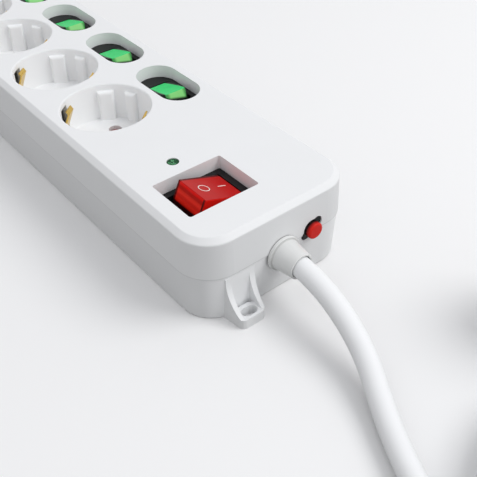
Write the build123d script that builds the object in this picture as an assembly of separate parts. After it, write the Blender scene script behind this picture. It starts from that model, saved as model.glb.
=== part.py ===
from build123d import *
import math
import os

# Switched power strip with four earthed outlets, a main rocker in a recess, a lit rocker beside
# each outlet, a surge indicator, a reset button and a cord gland on the near end.
# Millimetres, +Z up, origin at the centre of the casing's underside. The cord leaves at +X.

# Casing
CASING_LENGTH = 280.0
CASING_WIDTH = 76.3
CASING_HEIGHT = 39.5
PARTING_HEIGHT = 21.5
PLAN_CORNER_RADIUS = 15.0
WALL = 2.3
TOP_THICKNESS = 2.4
FLOOR_THICKNESS = 2.2
PARTING_STEP = 0.4
COVER_DRAFT = 1.8
BASE_DRAFT = 3.2
BEVEL_WIDTH = 2.4
BEVEL_DROP = 2.0
EDGE_ROUND = 0.8
TONGUE_THICKNESS = 0.9
TONGUE_HEIGHT = 1.5
TONGUE_CLEARANCE = 0.15

# Casing screws, driven from below
SCREW_END_INSET = 12.0
SCREW_SIDE_INSET = 8.8
INNER_SCREW_Y = 10.5
SCREW_RADIUS = 1.5
SCREW_HEAD_RADIUS = 3.0
SCREW_HEAD_HEIGHT = 2.4
SCREW_LENGTH = 16.0
SCREW_SEAT_HEIGHT = 7.5
SCREW_BOSS_RADIUS = 3.9
SCREW_BOSS_TOP = 10.0
SCREW_CLEARANCE = 0.1

# Outlets
OUTLET_COUNT = 4
OUTLET_PITCH = 46.0
FIRST_OUTLET_INSET = 105.2
WELL_OFFSET_Y = -11.3
WELL_RADIUS = 20.0
WELL_DEPTH = 17.5
WELL_WALL = 1.8
WELL_FLOOR = 2.0
WELL_RIM_ROUND = 0.8
PIN_SPACING = 19.0
PIN_RADIUS = 2.4
PIN_LENGTH = 19.0
PIN_HOLE_RADIUS = 3.0
PIN_LINE_ANGLE = 135.0
GUIDE_RIB_HEIGHT = 14.3
GUIDE_RIB_DEPTH = 2.2
GUIDE_RIB_SPANS = ((4.5, 27.0), (-29.0, -12.0))
GUIDE_RIB_ROUND = 1.4

# Earth clips, which stand in slots in the well wall
CLIP_WIDTH = 5.4
CLIP_SKEW = 3.0
CLIP_THICKNESS = 0.8
CLIP_SLOT_WIDTH = 6.6
CLIP_SLOT_DEPTH = 3.0
CLIP_SLOT_TOP_INSET = 2.7
CLIP_BULGE = 4.1
CLIP_TOP_INSET = 2.6
CLIP_LIP_HEIGHT = 1.6
CLIP_LIP_LEAN = 1.0
EARTH_STRIP_WIDTH = 4.0
EARTH_STRIP_THICKNESS = 0.8

# Shutter and the carrier under each well
SHUTTER_THICKNESS = 1.6
SHUTTER_RADIUS = 13.2
SHUTTER_HALF_ANGLE = 20.5
SHUTTER_HUB_RADIUS = 4.5
SHUTTER_TRAVEL = 40.0
SHUTTER_CLEARANCE = 0.2
PIVOT_PIN_RADIUS = 1.5
PIVOT_FIT = 0.05
CARRIER_RADIUS = 15.0
CARRIER_RIM = 1.0
CARRIER_PLATE = 1.6
CARRIER_LEG_RADIUS = 2.0
CARRIER_LEG_SPOTS = ((-11.5, 0.0), (0.0, 11.5), (-2.0, -7.5))
COLLAR_HEIGHT = 1.3
COLLAR_WALL = 1.0

# Pin contacts and the strips that feed them
SLEEVE_WALL = 0.5
SLEEVE_BOTTOM = 4.0
SLEEVE_TOP_GAP = 0.4
SLEEVE_SLIT = 0.8
STRIP_THICKNESS = 0.8
NEUTRAL_STRIP_BOTTOM = 6.0
NEUTRAL_STRIP_TOP = 11.0
LINE_TAB_BOTTOM = 12.0
LINE_TAB_TOP = 14.5
LINE_STRIP_BOTTOM = 9.0
LINE_STRIP_TOP = 13.0
STRIP_END_REACH = 22.0

# Outlet switches
OUTLET_SWITCH_Y = 21.8
OUTLET_OPENING_LENGTH = 36.9
OUTLET_OPENING_WIDTH = 19.4
SWITCH_DEPTH = 5.8
BEZEL_THICKNESS = 1.6
BEZEL_CLEARANCE = 0.15
LEDGE_THICKNESS = 1.8
RECESS_WALL = 1.8
OUTLET_ROCKER_WIDTH = 12.6
OUTLET_ROCKER_TOP_HALF = 8.0
OUTLET_ROCKER_END_HALF = 9.4
OUTLET_ROCKER_TOP = 7.15
OUTLET_ROCKER_SHOULDER = 2.7
OUTLET_ROCKER_BOTTOM = -1.5
OUTLET_ROCKER_TILT = 14.0
OUTLET_PIVOT_DEPTH = 5.0
OUTLET_ROCKER_CORNER = 2.6
OUTLET_BODY_LENGTH = 23.6
OUTLET_BODY_WALL = 1.2
OUTLET_BODY_BOTTOM = 15.5

# Main switch
MAIN_SWITCH_INSET = 30.7
MAIN_SWITCH_Y = -12.47
MAIN_RECESS_LENGTH = 24.8
MAIN_RECESS_WIDTH = 32.5
MAIN_RECESS_CORNER = 1.0
MAIN_ROCKER_WIDTH = 17.6
MAIN_ROCKER_TOP_HALF = 10.0
MAIN_ROCKER_END_HALF = 10.6
MAIN_ROCKER_TOP = 9.25
MAIN_ROCKER_SHOULDER = 2.0
MAIN_ROCKER_BOTTOM = -1.5
MAIN_ROCKER_TILT = 19.07
MAIN_PIVOT_DEPTH = 5.5
MAIN_ROCKER_CORNER = 0.6
MAIN_BODY_LENGTH = 27.0
MAIN_BODY_WALL = 1.4
MAIN_BODY_BOTTOM = 16.0

# Both rockers
ROCKER_SIDE_GAP = 0.3
ROCKER_END_GAP = 0.35
ROCKER_SHELL = 1.5
ROCKER_EDGE_ROUND = 0.4
ROCKER_PIN_RADIUS = 1.2
ROCKER_PIN_LENGTH = 0.9
ROCKER_PIN_FIT = 0.05
ROCKER_STEM_REACH = 6.3
ROCKER_STEM_SIZE = 3.0
ROCKER_CAVITY_DEPTH = 7.5
LAMP_RADIUS = 1.6
LAMP_LENGTH = 8.0
BLADE_THICKNESS = 0.8
BLADE_WIDTH = 4.8
BLADE_LENGTH = 7.0

# Indicator and surge protection board
INDICATOR_INSET = 51.4
INDICATOR_Y = -13.1
INDICATOR_RADIUS = 2.6
INDICATOR_RECESS = 0.4
INDICATOR_FLANGE = 1.2
INDICATOR_LENGTH = 12.0
BOARD_LENGTH = 31.0
BOARD_WIDTH = 31.0
BOARD_THICKNESS = 1.6
BOARD_HEIGHT = 20.0
BOARD_END_INSET = 45.2
BOARD_SIDE_Y = -31.4
BOARD_POST_RADIUS = 2.2
BOARD_POST_INSET = 3.0
VARISTOR_RADIUS = 6.6
VARISTOR_THICKNESS = 4.2
VARISTOR_PITCH = 6.4
VARISTOR_COUNT = 3
CAPACITOR_SIZE = (17.5, 7.5, 13.0)

# Overload breaker and its reset button
BREAKER_Y = 15.15
BREAKER_Z = 22.85
BREAKER_LENGTH = 24.0
BREAKER_WIDTH = 12.0
BREAKER_HEIGHT = 26.0
BREAKER_FRONT_GAP = 1.0
BREAKER_BEZEL_GAP = 0.15
BREAKER_BEZEL_INSET = 0.15
RESET_HOLE_RADIUS = 4.2
RESET_SLOT_LENGTH = 11.6
RESET_SLOT_WIDTH = 4.9
RESET_SLOT_ANGLE = 38.0
RESET_BUTTON_RADIUS = 3.55
RESET_BUTTON_FIT = 0.05
RESET_BUTTON_REACH = 2.5
RESET_BUTTON_LENGTH = 15.0
RESET_BUTTON_DOME = 0.9
RESET_PRESS = 1.2

# Cord and gland
CORD_RADIUS = 4.3
CORD_AXIS_HEIGHT = 19.2
GLAND_FLANGE_RADIUS = 7.5
GLAND_FLANGE_THICKNESS = 1.5
GLAND_NECK_RADIUS = 6.2
GLAND_NECK_GAP = 0.15
GLAND_BARREL_RADIUS = 6.65
GLAND_TIP_RADIUS = 5.45
GLAND_REACH = 11.0
GLAND_TIP_ROUND = 0.3
GLAND_INNER_REACH = 3.6
GLAND_BORE_GAP = 0.15
GLAND_MOUTH_RADIUS = 4.75
GLAND_MOUTH_DEPTH = 2.2
CLAMP_INSET = 14.0
CLAMP_LENGTH = 6.5
CLAMP_HALF_WIDTH = 8.0
CLAMP_HEIGHT = 6.2
CLAMP_GAP = 0.6
CLAMP_SCREW_Y = 6.2
CLAMP_SCREW_RADIUS = 1.2
CLAMP_SCREW_HEAD = 2.1
CLAMP_SCREW_HEAD_HEIGHT = 1.5
CLAMP_SCREW_LENGTH = 12.0
SHEATH_END_GAP = 0.8
CORE_RADIUS = 1.2
CORE_RING = 2.3

# Wall lugs
LUG_Y = -20.3
LUG_REACH = 8.2
LUG_THICKNESS = 4.5
LUG_POCKET_FLOOR = 2.0
LUG_RIM = 1.7
LUG_ROOT_WIDTH = 14.0
LUG_TIP_WIDTH = 11.4
LUG_CORNER = 2.5
LUG_SLOT_LENGTH = 7.0
LUG_SLOT_WIDTH = 4.4
LUG_SLOT_INSET = 3.5
LUG_RIB_THICKNESS = 1.4
LUG_RIB_DROP = 1.2

# Plug, lying on its back with its pins up
PLUG_GRIP_RADIUS = 19.0
PLUG_GRIP_HEIGHT = 21.5
PLUG_NOSE_RADIUS = 18.3
PLUG_NOSE_HEIGHT = 17.0
PLUG_FLAT = 15.6
PLUG_EDGE_ROUND = 2.2
PLUG_SLOT_WIDTH = 7.2
PLUG_SLOT_DEPTH = 1.8
PLUG_CLIP_WIDTH = 5.2
PLUG_RELIEF_LENGTH = 20.0
PLUG_RELIEF_ROOT = 7.8
PLUG_RELIEF_TIP = 6.2
PLUG_RELIEF_RINGS = 5
PLUG_PIN_ROOT = 6.0
PLUG_PIN_NECK_RADIUS = 2.0
PLUG_PIN_RECESS_RADIUS = 3.6
PLUG_PIN_RECESS_DEPTH = 0.6

# Cord route from the gland's mouth to the coil, as the corners of its centre line
CORD_ROUTE = (
    (148.8, 0.0, 19.2),
    (161.0, 0.0, 19.2),
    (176.0, -2.1, 15.6),
    (192.0, -5.6, 9.8),
    (209.0, -13.0, 4.9),
    (225.0, -22.6, 4.3),
    (244.0, -31.0, 4.3),
    (263.0, -33.85, 4.3),
    (281.4, -33.85, 4.3),
)
CORD_ARC_SHARE = 0.45
COIL_OUTER_RADIUS = 57.0
COIL_GAP = 0.55
COIL_TURNS_PER_LAYER = 2
COIL_END_TURN = 15.0
COIL_END_RADIUS = 80.0
COIL_END_STRAIGHT = 12.0

# Places that follow from the sizes above
HALF_LENGTH = CASING_LENGTH / 2
HALF_WIDTH = CASING_WIDTH / 2
WELL_FLOOR_Z = CASING_HEIGHT - WELL_DEPTH
WELL_UNDERSIDE = WELL_FLOOR_Z - WELL_FLOOR
COVER_UNDERSIDE = CASING_HEIGHT - TOP_THICKNESS
BEZEL_TOP = CASING_HEIGHT - SWITCH_DEPTH
BEZEL_BOTTOM = BEZEL_TOP - BEZEL_THICKNESS
LEDGE_BOTTOM = BEZEL_BOTTOM - LEDGE_THICKNESS
CARRIER_TOP = WELL_UNDERSIDE - SHUTTER_THICKNESS - 2 * SHUTTER_CLEARANCE
CARRIER_BOTTOM = CARRIER_TOP - CARRIER_PLATE
SLEEVE_TOP = CARRIER_BOTTOM - SLEEVE_TOP_GAP
SLEEVE_RADIUS = PIN_RADIUS + SLEEVE_WALL
OUTLET_X = [HALF_LENGTH - FIRST_OUTLET_INSET - i * OUTLET_PITCH for i in range(OUTLET_COUNT)]
PIN_OFFSET = PIN_SPACING / 2 * math.cos(math.radians(180 - PIN_LINE_ANGLE))
CLIP_RING = WELL_RADIUS + (CLIP_SLOT_DEPTH - CLIP_THICKNESS) / 2 - 0.3
CLIP_OFFSET = CLIP_RING * math.sqrt(0.5)
OUTLET_PIVOT_Z = BEZEL_TOP - OUTLET_PIVOT_DEPTH
MAIN_PIVOT_Z = BEZEL_TOP - MAIN_PIVOT_DEPTH
MAIN_SWITCH_X = HALF_LENGTH - MAIN_SWITCH_INSET
INDICATOR_X = HALF_LENGTH - INDICATOR_INSET
BREAKER_FRONT = HALF_LENGTH - PARTING_STEP - WALL - BREAKER_FRONT_GAP
CLAMP_X = HALF_LENGTH - CLAMP_INSET
SHEATH_END_X = CLAMP_X - SHEATH_END_GAP
COIL_PITCH = 2 * CORD_RADIUS + COIL_GAP


def on_x(x, y, z):
    """Plane at a point, facing +X."""
    return Plane(origin=(x, y, z), x_dir=(0, 1, 0), z_dir=(1, 0, 0))


def edges_at(shape, z):
    """Edges whose centre lies at one height."""
    return shape.edges().filter_by(lambda e: abs(e.center().Z - z) < 0.01)


def rounded_prism(length, width, radius, bottom, height, draft=0.0):
    """Rounded rectangle pulled up from one height, drawn in by its draft."""
    return extrude(Plane.XY.offset(bottom) * RectangleRounded(length, width, radius), height, taper=draft)


def upright(x, y, radius, bottom, top):
    """Vertical cylinder between two heights."""
    return Pos(x, y, bottom) * Cylinder(radius, top - bottom, align=(Align.CENTER, Align.CENTER, Align.MIN))


def along_x(start, end, y, z, radius):
    """Cylinder along X between two places."""
    return extrude(on_x(start, y, z) * Circle(radius), end - start)


def block(x, y, z):
    """Box between two limits on each axis."""
    return Pos(x[0], y[0], z[0]) * Box(
        x[1] - x[0], y[1] - y[0], z[1] - z[0], align=(Align.MIN, Align.MIN, Align.MIN)
    )


def screw_spots():
    """Places of the casing screws: four corners and two between neighbouring outlets."""
    x = HALF_LENGTH - SCREW_END_INSET
    y = HALF_WIDTH - SCREW_SIDE_INSET
    inner = [(outlet_x - OUTLET_PITCH / 2, INNER_SCREW_Y) for outlet_x in OUTLET_X[::2]]
    return [(sx, sy) for sx in (x, -x) for sy in (y, -y)] + inner


def reset_outline(shrink):
    """Round hole with a slanting slot across it, made smaller by a margin."""
    slot = SlotOverall(RESET_SLOT_LENGTH - 2 * shrink, RESET_SLOT_WIDTH - 2 * shrink)
    return Circle(RESET_HOLE_RADIUS - shrink) + Rot(0, 0, RESET_SLOT_ANGLE) * slot


def reset_cutout():
    """Hole and slot for the reset button, through the near end wall."""
    start = HALF_LENGTH - 3 * WALL
    return extrude(on_x(start, BREAKER_Y, BREAKER_Z) * reset_outline(0), 4 * WALL)


def gland_cutout():
    """Round hole for the gland's neck, through the near end wall."""
    radius = GLAND_NECK_RADIUS + GLAND_NECK_GAP
    return along_x(HALF_LENGTH - 3 * WALL, HALF_LENGTH + WALL, 0, CORD_AXIS_HEIGHT, radius)


def guide_rib(span):
    """One rounded rib on a well's wall, beside the pin line, which lies along +X here."""
    inner = WELL_RADIUS - GUIDE_RIB_DEPTH
    outer = WELL_RADIUS + WELL_WALL / 2
    start, end = math.radians(span[0]), math.radians(span[1])
    middle = (start + end) / 2

    def at(radius, angle):
        return (radius * math.cos(angle), radius * math.sin(angle))

    outline = (
        ThreePointArc(at(inner, start), at(inner, middle), at(inner, end))
        + Line(at(inner, end), at(outer, end))
        + ThreePointArc(at(outer, end), at(outer, middle), at(outer, start))
        + Line(at(outer, start), at(inner, start))
    )
    rib = extrude(Plane.XY.offset(WELL_FLOOR_Z) * make_face(outline), GUIDE_RIB_HEIGHT)
    top = WELL_FLOOR_Z + GUIDE_RIB_HEIGHT
    corners = rib.edges().filter_by(Axis.Z).sort_by(lambda e: math.hypot(e.center().X, e.center().Y))[:2]
    front = edges_at(rib, top).sort_by(lambda e: math.hypot(e.center().X, e.center().Y))[:1]
    return fillet(corners + front, GUIDE_RIB_ROUND)


def well_features():
    """Pairs of guide ribs on both sides of one well."""
    pair = guide_rib(GUIDE_RIB_SPANS[0]) + guide_rib(GUIDE_RIB_SPANS[1])
    both = pair + Rot(0, 0, 180) * pair
    return Rot(0, 0, PIN_LINE_ANGLE) * both


def clip_slots():
    """Slots for the two earth clips, cut through one well's wall and floor."""
    height = WELL_DEPTH + WELL_FLOOR - CLIP_SLOT_TOP_INSET + 0.1
    slot = Pos(WELL_RADIUS - 1.0, 0, WELL_UNDERSIDE - 0.1) * Box(
        CLIP_SLOT_DEPTH + 1.0, CLIP_SLOT_WIDTH, height, align=(Align.MIN, Align.CENTER, Align.MIN)
    )
    first = Rot(0, 0, PIN_LINE_ANGLE - 90 - CLIP_SKEW) * slot
    return first + Rot(0, 0, 180) * first


def outlet_opening(grow, bottom, top):
    """Stadium-shaped prism of the outlet switch opening, grown by a margin."""
    shape = SlotOverall(OUTLET_OPENING_LENGTH + 2 * grow, OUTLET_OPENING_WIDTH + 2 * grow)
    return extrude(Plane.XY.offset(bottom) * shape, top - bottom)


def main_opening(grow, bottom, top):
    """Rounded rectangle prism of the main switch recess, grown by a margin."""
    shape = RectangleRounded(MAIN_RECESS_LENGTH + 2 * grow, MAIN_RECESS_WIDTH + 2 * grow, MAIN_RECESS_CORNER + grow)
    return Pos(MAIN_SWITCH_X, MAIN_SWITCH_Y, bottom) * extrude(shape, top - bottom)


def top_cover():
    """Upper shell with its bevel, wells, guide ribs and switch recesses."""
    side_height = CASING_HEIGHT - BEVEL_DROP - PARTING_HEIGHT
    shrink = side_height * math.tan(math.radians(COVER_DRAFT))
    outer = rounded_prism(
        CASING_LENGTH, CASING_WIDTH, PLAN_CORNER_RADIUS, PARTING_HEIGHT, side_height, COVER_DRAFT
    )
    outer += rounded_prism(
        CASING_LENGTH - 2 * shrink,
        CASING_WIDTH - 2 * shrink,
        PLAN_CORNER_RADIUS - shrink,
        CASING_HEIGHT - BEVEL_DROP,
        BEVEL_DROP,
        math.degrees(math.atan2(BEVEL_WIDTH, BEVEL_DROP)),
    )
    bevel_edges = edges_at(outer, CASING_HEIGHT) + edges_at(outer, CASING_HEIGHT - BEVEL_DROP)
    outer = fillet(bevel_edges, EDGE_ROUND)
    cavity = rounded_prism(
        CASING_LENGTH - 2 * WALL,
        CASING_WIDTH - 2 * WALL,
        PLAN_CORNER_RADIUS - WALL,
        PARTING_HEIGHT,
        COVER_UNDERSIDE - PARTING_HEIGHT,
        COVER_DRAFT,
    )
    cover = outer - cavity
    tongue_inset = WALL - TONGUE_THICKNESS
    tongue_bottom = PARTING_HEIGHT - TONGUE_HEIGHT
    cover += rounded_prism(
        CASING_LENGTH - 2 * tongue_inset,
        CASING_WIDTH - 2 * tongue_inset,
        PLAN_CORNER_RADIUS - tongue_inset,
        tongue_bottom,
        TONGUE_HEIGHT,
    ) - rounded_prism(
        CASING_LENGTH - 2 * WALL, CASING_WIDTH - 2 * WALL, PLAN_CORNER_RADIUS - WALL, tongue_bottom, TONGUE_HEIGHT
    )
    joint_top = COVER_UNDERSIDE + TOP_THICKNESS / 2
    for x in OUTLET_X:
        cover += upright(x, WELL_OFFSET_Y, WELL_RADIUS + WELL_WALL, WELL_UNDERSIDE, joint_top)
        cover += Pos(x, OUTLET_SWITCH_Y) * outlet_opening(RECESS_WALL, LEDGE_BOTTOM, joint_top)
    cover += main_opening(RECESS_WALL, LEDGE_BOTTOM, joint_top)
    cover += upright(INDICATOR_X, INDICATOR_Y, INDICATOR_RADIUS + 2.5, COVER_UNDERSIDE - 1.2, joint_top)
    for x, y in screw_spots():
        cover += upright(x, y, SCREW_BOSS_RADIUS, SCREW_BOSS_TOP, joint_top)
    for x in OUTLET_X:
        cover -= upright(x, WELL_OFFSET_Y, WELL_RADIUS, WELL_FLOOR_Z, CASING_HEIGHT + 1)
        cover -= Pos(x, OUTLET_SWITCH_Y) * outlet_opening(0, BEZEL_BOTTOM, CASING_HEIGHT + 1)
    cover -= main_opening(0, BEZEL_BOTTOM, CASING_HEIGHT + 1)
    rims = edges_at(cover, CASING_HEIGHT).filter_by(GeomType.CIRCLE)
    cover = fillet(rims.filter_by(lambda e: abs(e.radius - WELL_RADIUS) < 0.01), WELL_RIM_ROUND)
    ribs = well_features()
    slots = clip_slots()
    for x in OUTLET_X:
        cover += Pos(x, WELL_OFFSET_Y) * ribs
        cover -= Pos(x, WELL_OFFSET_Y) * slots
        for side in (-1, 1):
            hole_x, hole_y = x + side * PIN_OFFSET, WELL_OFFSET_Y - side * PIN_OFFSET
            cover -= upright(hole_x, hole_y, PIN_HOLE_RADIUS, WELL_UNDERSIDE - 1, WELL_FLOOR_Z + 1)
        cover -= Pos(x, OUTLET_SWITCH_Y, 0) * body_prism(outlet_body_size(), BEZEL_CLEARANCE, LEDGE_BOTTOM - 1, BEZEL_TOP)
    cover -= Pos(MAIN_SWITCH_X, MAIN_SWITCH_Y, 0) * body_prism(
        main_body_size(), BEZEL_CLEARANCE, LEDGE_BOTTOM - 1, BEZEL_TOP
    )
    cover -= upright(INDICATOR_X, INDICATOR_Y, INDICATOR_RADIUS, LEDGE_BOTTOM, CASING_HEIGHT + 1)
    for x, y in screw_spots():
        pilot_top = SCREW_SEAT_HEIGHT + SCREW_LENGTH + 1
        cover -= upright(x, y, SCREW_RADIUS + SCREW_CLEARANCE / 2, SCREW_BOSS_TOP - 1, pilot_top)
    return cover - gland_cutout() - reset_cutout()


def base_tray():
    """Lower shell with its wall lugs, screw bosses and the pedestals that carry the inner pieces."""
    top_length = CASING_LENGTH - 2 * PARTING_STEP
    top_width = CASING_WIDTH - 2 * PARTING_STEP
    top_radius = PLAN_CORNER_RADIUS - PARTING_STEP
    down = Plane(origin=(0, 0, PARTING_HEIGHT), x_dir=(1, 0, 0), z_dir=(0, 0, -1))
    outer = extrude(down * RectangleRounded(top_length, top_width, top_radius), PARTING_HEIGHT, taper=BASE_DRAFT)
    outer = fillet(edges_at(outer, 0), EDGE_ROUND)
    inner = RectangleRounded(top_length - 2 * WALL, top_width - 2 * WALL, top_radius - WALL)
    cavity = extrude(down * inner, PARTING_HEIGHT - FLOOR_THICKNESS, taper=BASE_DRAFT)
    for side in (0, 180):
        outer += Rot(0, 0, side) * lug()
    base = outer - cavity
    groove = TONGUE_HEIGHT + TONGUE_CLEARANCE
    groove_inset = WALL - TONGUE_THICKNESS - TONGUE_CLEARANCE
    base -= rounded_prism(
        CASING_LENGTH - 2 * groove_inset,
        CASING_WIDTH - 2 * groove_inset,
        PLAN_CORNER_RADIUS - groove_inset,
        PARTING_HEIGHT - groove,
        groove + 1,
    )
    for x, y in screw_spots():
        base += upright(x, y, SCREW_BOSS_RADIUS + 0.8, FLOOR_THICKNESS / 2, SCREW_BOSS_TOP)
    base += clamp_pedestal() + breaker_pedestal()
    for x, y in board_posts():
        base += upright(x, y, BOARD_POST_RADIUS, FLOOR_THICKNESS / 2, BOARD_HEIGHT)
    for x in strip_support_spots():
        y = WELL_OFFSET_Y + PIN_OFFSET - SLEEVE_RADIUS
        base += block((x - 2, x + 2), (y - 1.5, y + 1.5), (FLOOR_THICKNESS / 2, NEUTRAL_STRIP_BOTTOM))
    for x, y in screw_spots():
        base -= upright(x, y, SCREW_HEAD_RADIUS + 0.4, -1, SCREW_SEAT_HEIGHT)
        base -= upright(x, y, SCREW_RADIUS + SCREW_CLEARANCE, 0, SCREW_BOSS_TOP + 1)
    neck = GLAND_NECK_RADIUS + GLAND_NECK_GAP
    notch = block(
        (HALF_LENGTH - 3 * WALL, HALF_LENGTH + WALL), (-neck, neck), (CORD_AXIS_HEIGHT, PARTING_HEIGHT + 1)
    )
    return base - gland_cutout() - notch - reset_cutout()


def lug():
    """Wall lug on the near end: a slotted plate with curved ribs along both of its sides."""
    root = HALF_LENGTH - PARTING_STEP - WALL / 2 - PARTING_HEIGHT * math.tan(math.radians(BASE_DRAFT))
    tip = HALF_LENGTH + LUG_REACH
    half_root, half_tip = LUG_ROOT_WIDTH / 2, LUG_TIP_WIDTH / 2
    outline = Polyline(
        (root, LUG_Y - half_root), (tip, LUG_Y - half_tip), (tip, LUG_Y + half_tip), (root, LUG_Y + half_root), close=True
    )
    rib_top = PARTING_HEIGHT - LUG_RIB_DROP
    column = extrude(make_face(outline), rib_top)
    column = fillet(column.edges().filter_by(Axis.Z).sort_by(Axis.X)[2:], LUG_CORNER)
    slot_x = HALF_LENGTH + LUG_REACH - LUG_SLOT_INSET
    profile = (
        Line((root, 0), (tip, 0))
        + Line((tip, 0), (tip, LUG_THICKNESS))
        + Line((tip, LUG_THICKNESS), (tip - LUG_RIB_DROP, LUG_THICKNESS))
        + ThreePointArc(
            (tip - LUG_RIB_DROP, LUG_THICKNESS),
            (HALF_LENGTH + LUG_REACH * 0.22, (LUG_THICKNESS + rib_top) * 0.42),
            (HALF_LENGTH - PARTING_STEP, rib_top),
        )
        + Line((HALF_LENGTH - PARTING_STEP, rib_top), (root, rib_top))
        + Line((root, rib_top), (root, 0))
    )
    facing = Plane(origin=(0, LUG_Y, 0), x_dir=(1, 0, 0), z_dir=(0, -1, 0))
    gusset = extrude(facing * make_face(profile), half_root, both=True) & column
    inner = half_tip - LUG_RIB_THICKNESS
    wall_x = HALF_LENGTH - PARTING_STEP
    gusset -= block((wall_x, tip + 1), (LUG_Y - inner, LUG_Y + inner), (LUG_THICKNESS, rib_top + 1))
    gusset -= block((wall_x, slot_x), (LUG_Y - inner, LUG_Y + inner), (LUG_POCKET_FLOOR, rib_top + 1))
    rim = Rot(0, 0, 90) * SlotOverall(LUG_SLOT_LENGTH + 2 * LUG_RIM, LUG_SLOT_WIDTH + 2 * LUG_RIM)
    gusset += Pos(slot_x, LUG_Y, 0) * extrude(rim, LUG_THICKNESS) & column
    slot = Rot(0, 0, 90) * SlotOverall(LUG_SLOT_LENGTH, LUG_SLOT_WIDTH)
    return gusset - Pos(slot_x, LUG_Y, -1) * extrude(slot, LUG_THICKNESS + 2)


def clamp_pedestal():
    """Block under the cord with a round seat and two screw holes."""
    top = CORD_AXIS_HEIGHT - CLAMP_GAP
    pedestal = block(
        (CLAMP_X, CLAMP_X + CLAMP_LENGTH), (-CLAMP_HALF_WIDTH, CLAMP_HALF_WIDTH), (FLOOR_THICKNESS / 2, top)
    )
    pedestal -= along_x(CLAMP_X - 1, CLAMP_X + CLAMP_LENGTH + 1, 0, CORD_AXIS_HEIGHT, CORD_RADIUS)
    for side in (-1, 1):
        pedestal -= upright(
            CLAMP_X + CLAMP_LENGTH / 2, side * CLAMP_SCREW_Y, CLAMP_SCREW_RADIUS, clamp_screw_bottom(), top + 1
        )
    return pedestal


def clamp_screw_bottom():
    """Height of the clamp screws' lower ends."""
    return CORD_AXIS_HEIGHT + CLAMP_HEIGHT - CLAMP_SCREW_LENGTH


def breaker_pedestal():
    """Block that carries the breaker from the floor."""
    bottom = BREAKER_Z - BREAKER_HEIGHT / 2
    half = BREAKER_WIDTH / 2
    return block(
        (BREAKER_FRONT - BREAKER_LENGTH + 2, BREAKER_FRONT - 5),
        (BREAKER_Y - half + 1, BREAKER_Y + half - 1),
        (FLOOR_THICKNESS / 2, bottom),
    )


def board_corner():
    """Lower corner of the surge board."""
    return (HALF_LENGTH - BOARD_END_INSET - BOARD_LENGTH, BOARD_SIDE_Y)


def board_posts():
    """Places of the posts under the surge board."""
    x, y = board_corner()
    near, far = x + BOARD_LENGTH - BOARD_POST_INSET, x + BOARD_POST_INSET
    return ((near, y + BOARD_POST_INSET + 5), (near, y + BOARD_WIDTH - BOARD_POST_INSET),
            (far, y + BOARD_POST_INSET), (far, y + BOARD_WIDTH - BOARD_POST_INSET))


def strip_support_spots():
    """Places along X where the floor holds the neutral strip, between the wells."""
    return [x + OUTLET_PITCH / 2 for x in OUTLET_X]


def casing_screws():
    """Six screws that hold the shells together from below."""
    solids = []
    for x, y in screw_spots():
        screw = upright(x, y, SCREW_HEAD_RADIUS, SCREW_SEAT_HEIGHT - SCREW_HEAD_HEIGHT, SCREW_SEAT_HEIGHT)
        screw = chamfer(screw.edges().sort_by(Axis.Z)[:1], 0.5)
        screw += upright(x, y, SCREW_RADIUS, SCREW_SEAT_HEIGHT, SCREW_SEAT_HEIGHT + SCREW_LENGTH)
        solids.append(screw)
    return Compound(children=solids)


def outlet_body_size():
    """Length, width and corner radius of an outlet switch's body."""
    return (OUTLET_BODY_LENGTH, OUTLET_ROCKER_WIDTH + 2 * (ROCKER_SIDE_GAP + OUTLET_BODY_WALL), 1.0)


def main_body_size():
    """Length, width and corner radius of the main switch's body."""
    return (MAIN_ROCKER_WIDTH + 2 * (ROCKER_SIDE_GAP + MAIN_BODY_WALL), MAIN_BODY_LENGTH, 1.0)


def body_prism(size, grow, bottom, top):
    """Upright prism of a switch body, grown by a margin."""
    length, width, radius = size
    return rounded_prism(length + 2 * grow, width + 2 * grow, radius, bottom, top - bottom)


def swing_half(points, tilt, drop):
    """Half length that an opening needs where a rocker's outline passes a plane above its pivot."""
    reach = 0.0
    for x, z in points:
        radius = math.hypot(x, z)
        low = math.degrees(math.atan2(z, x)) - tilt
        if radius * math.sin(math.radians(low)) < drop:
            reach = max(reach, radius * math.cos(math.radians(max(0.0, low))))
        if radius > drop and math.degrees(math.atan2(z, x)) + tilt > math.degrees(math.asin(drop / radius)):
            crossing = math.asin(drop / radius)
            if crossing > math.radians(low):
                reach = max(reach, radius * math.cos(crossing))
    return reach + ROCKER_END_GAP


def outlet_profile():
    """Corner points of the outlet rocker's end, beside its pivot."""
    return (
        (OUTLET_ROCKER_END_HALF, OUTLET_ROCKER_BOTTOM),
        (OUTLET_ROCKER_END_HALF, OUTLET_ROCKER_SHOULDER),
        (OUTLET_ROCKER_TOP_HALF, OUTLET_ROCKER_TOP),
    )


def main_profile():
    """Corner points of the main rocker's end, beside its pivot."""
    return (
        (MAIN_ROCKER_END_HALF, MAIN_ROCKER_BOTTOM),
        (MAIN_ROCKER_END_HALF, MAIN_ROCKER_SHOULDER),
        (MAIN_ROCKER_TOP_HALF, MAIN_ROCKER_TOP),
    )


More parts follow.
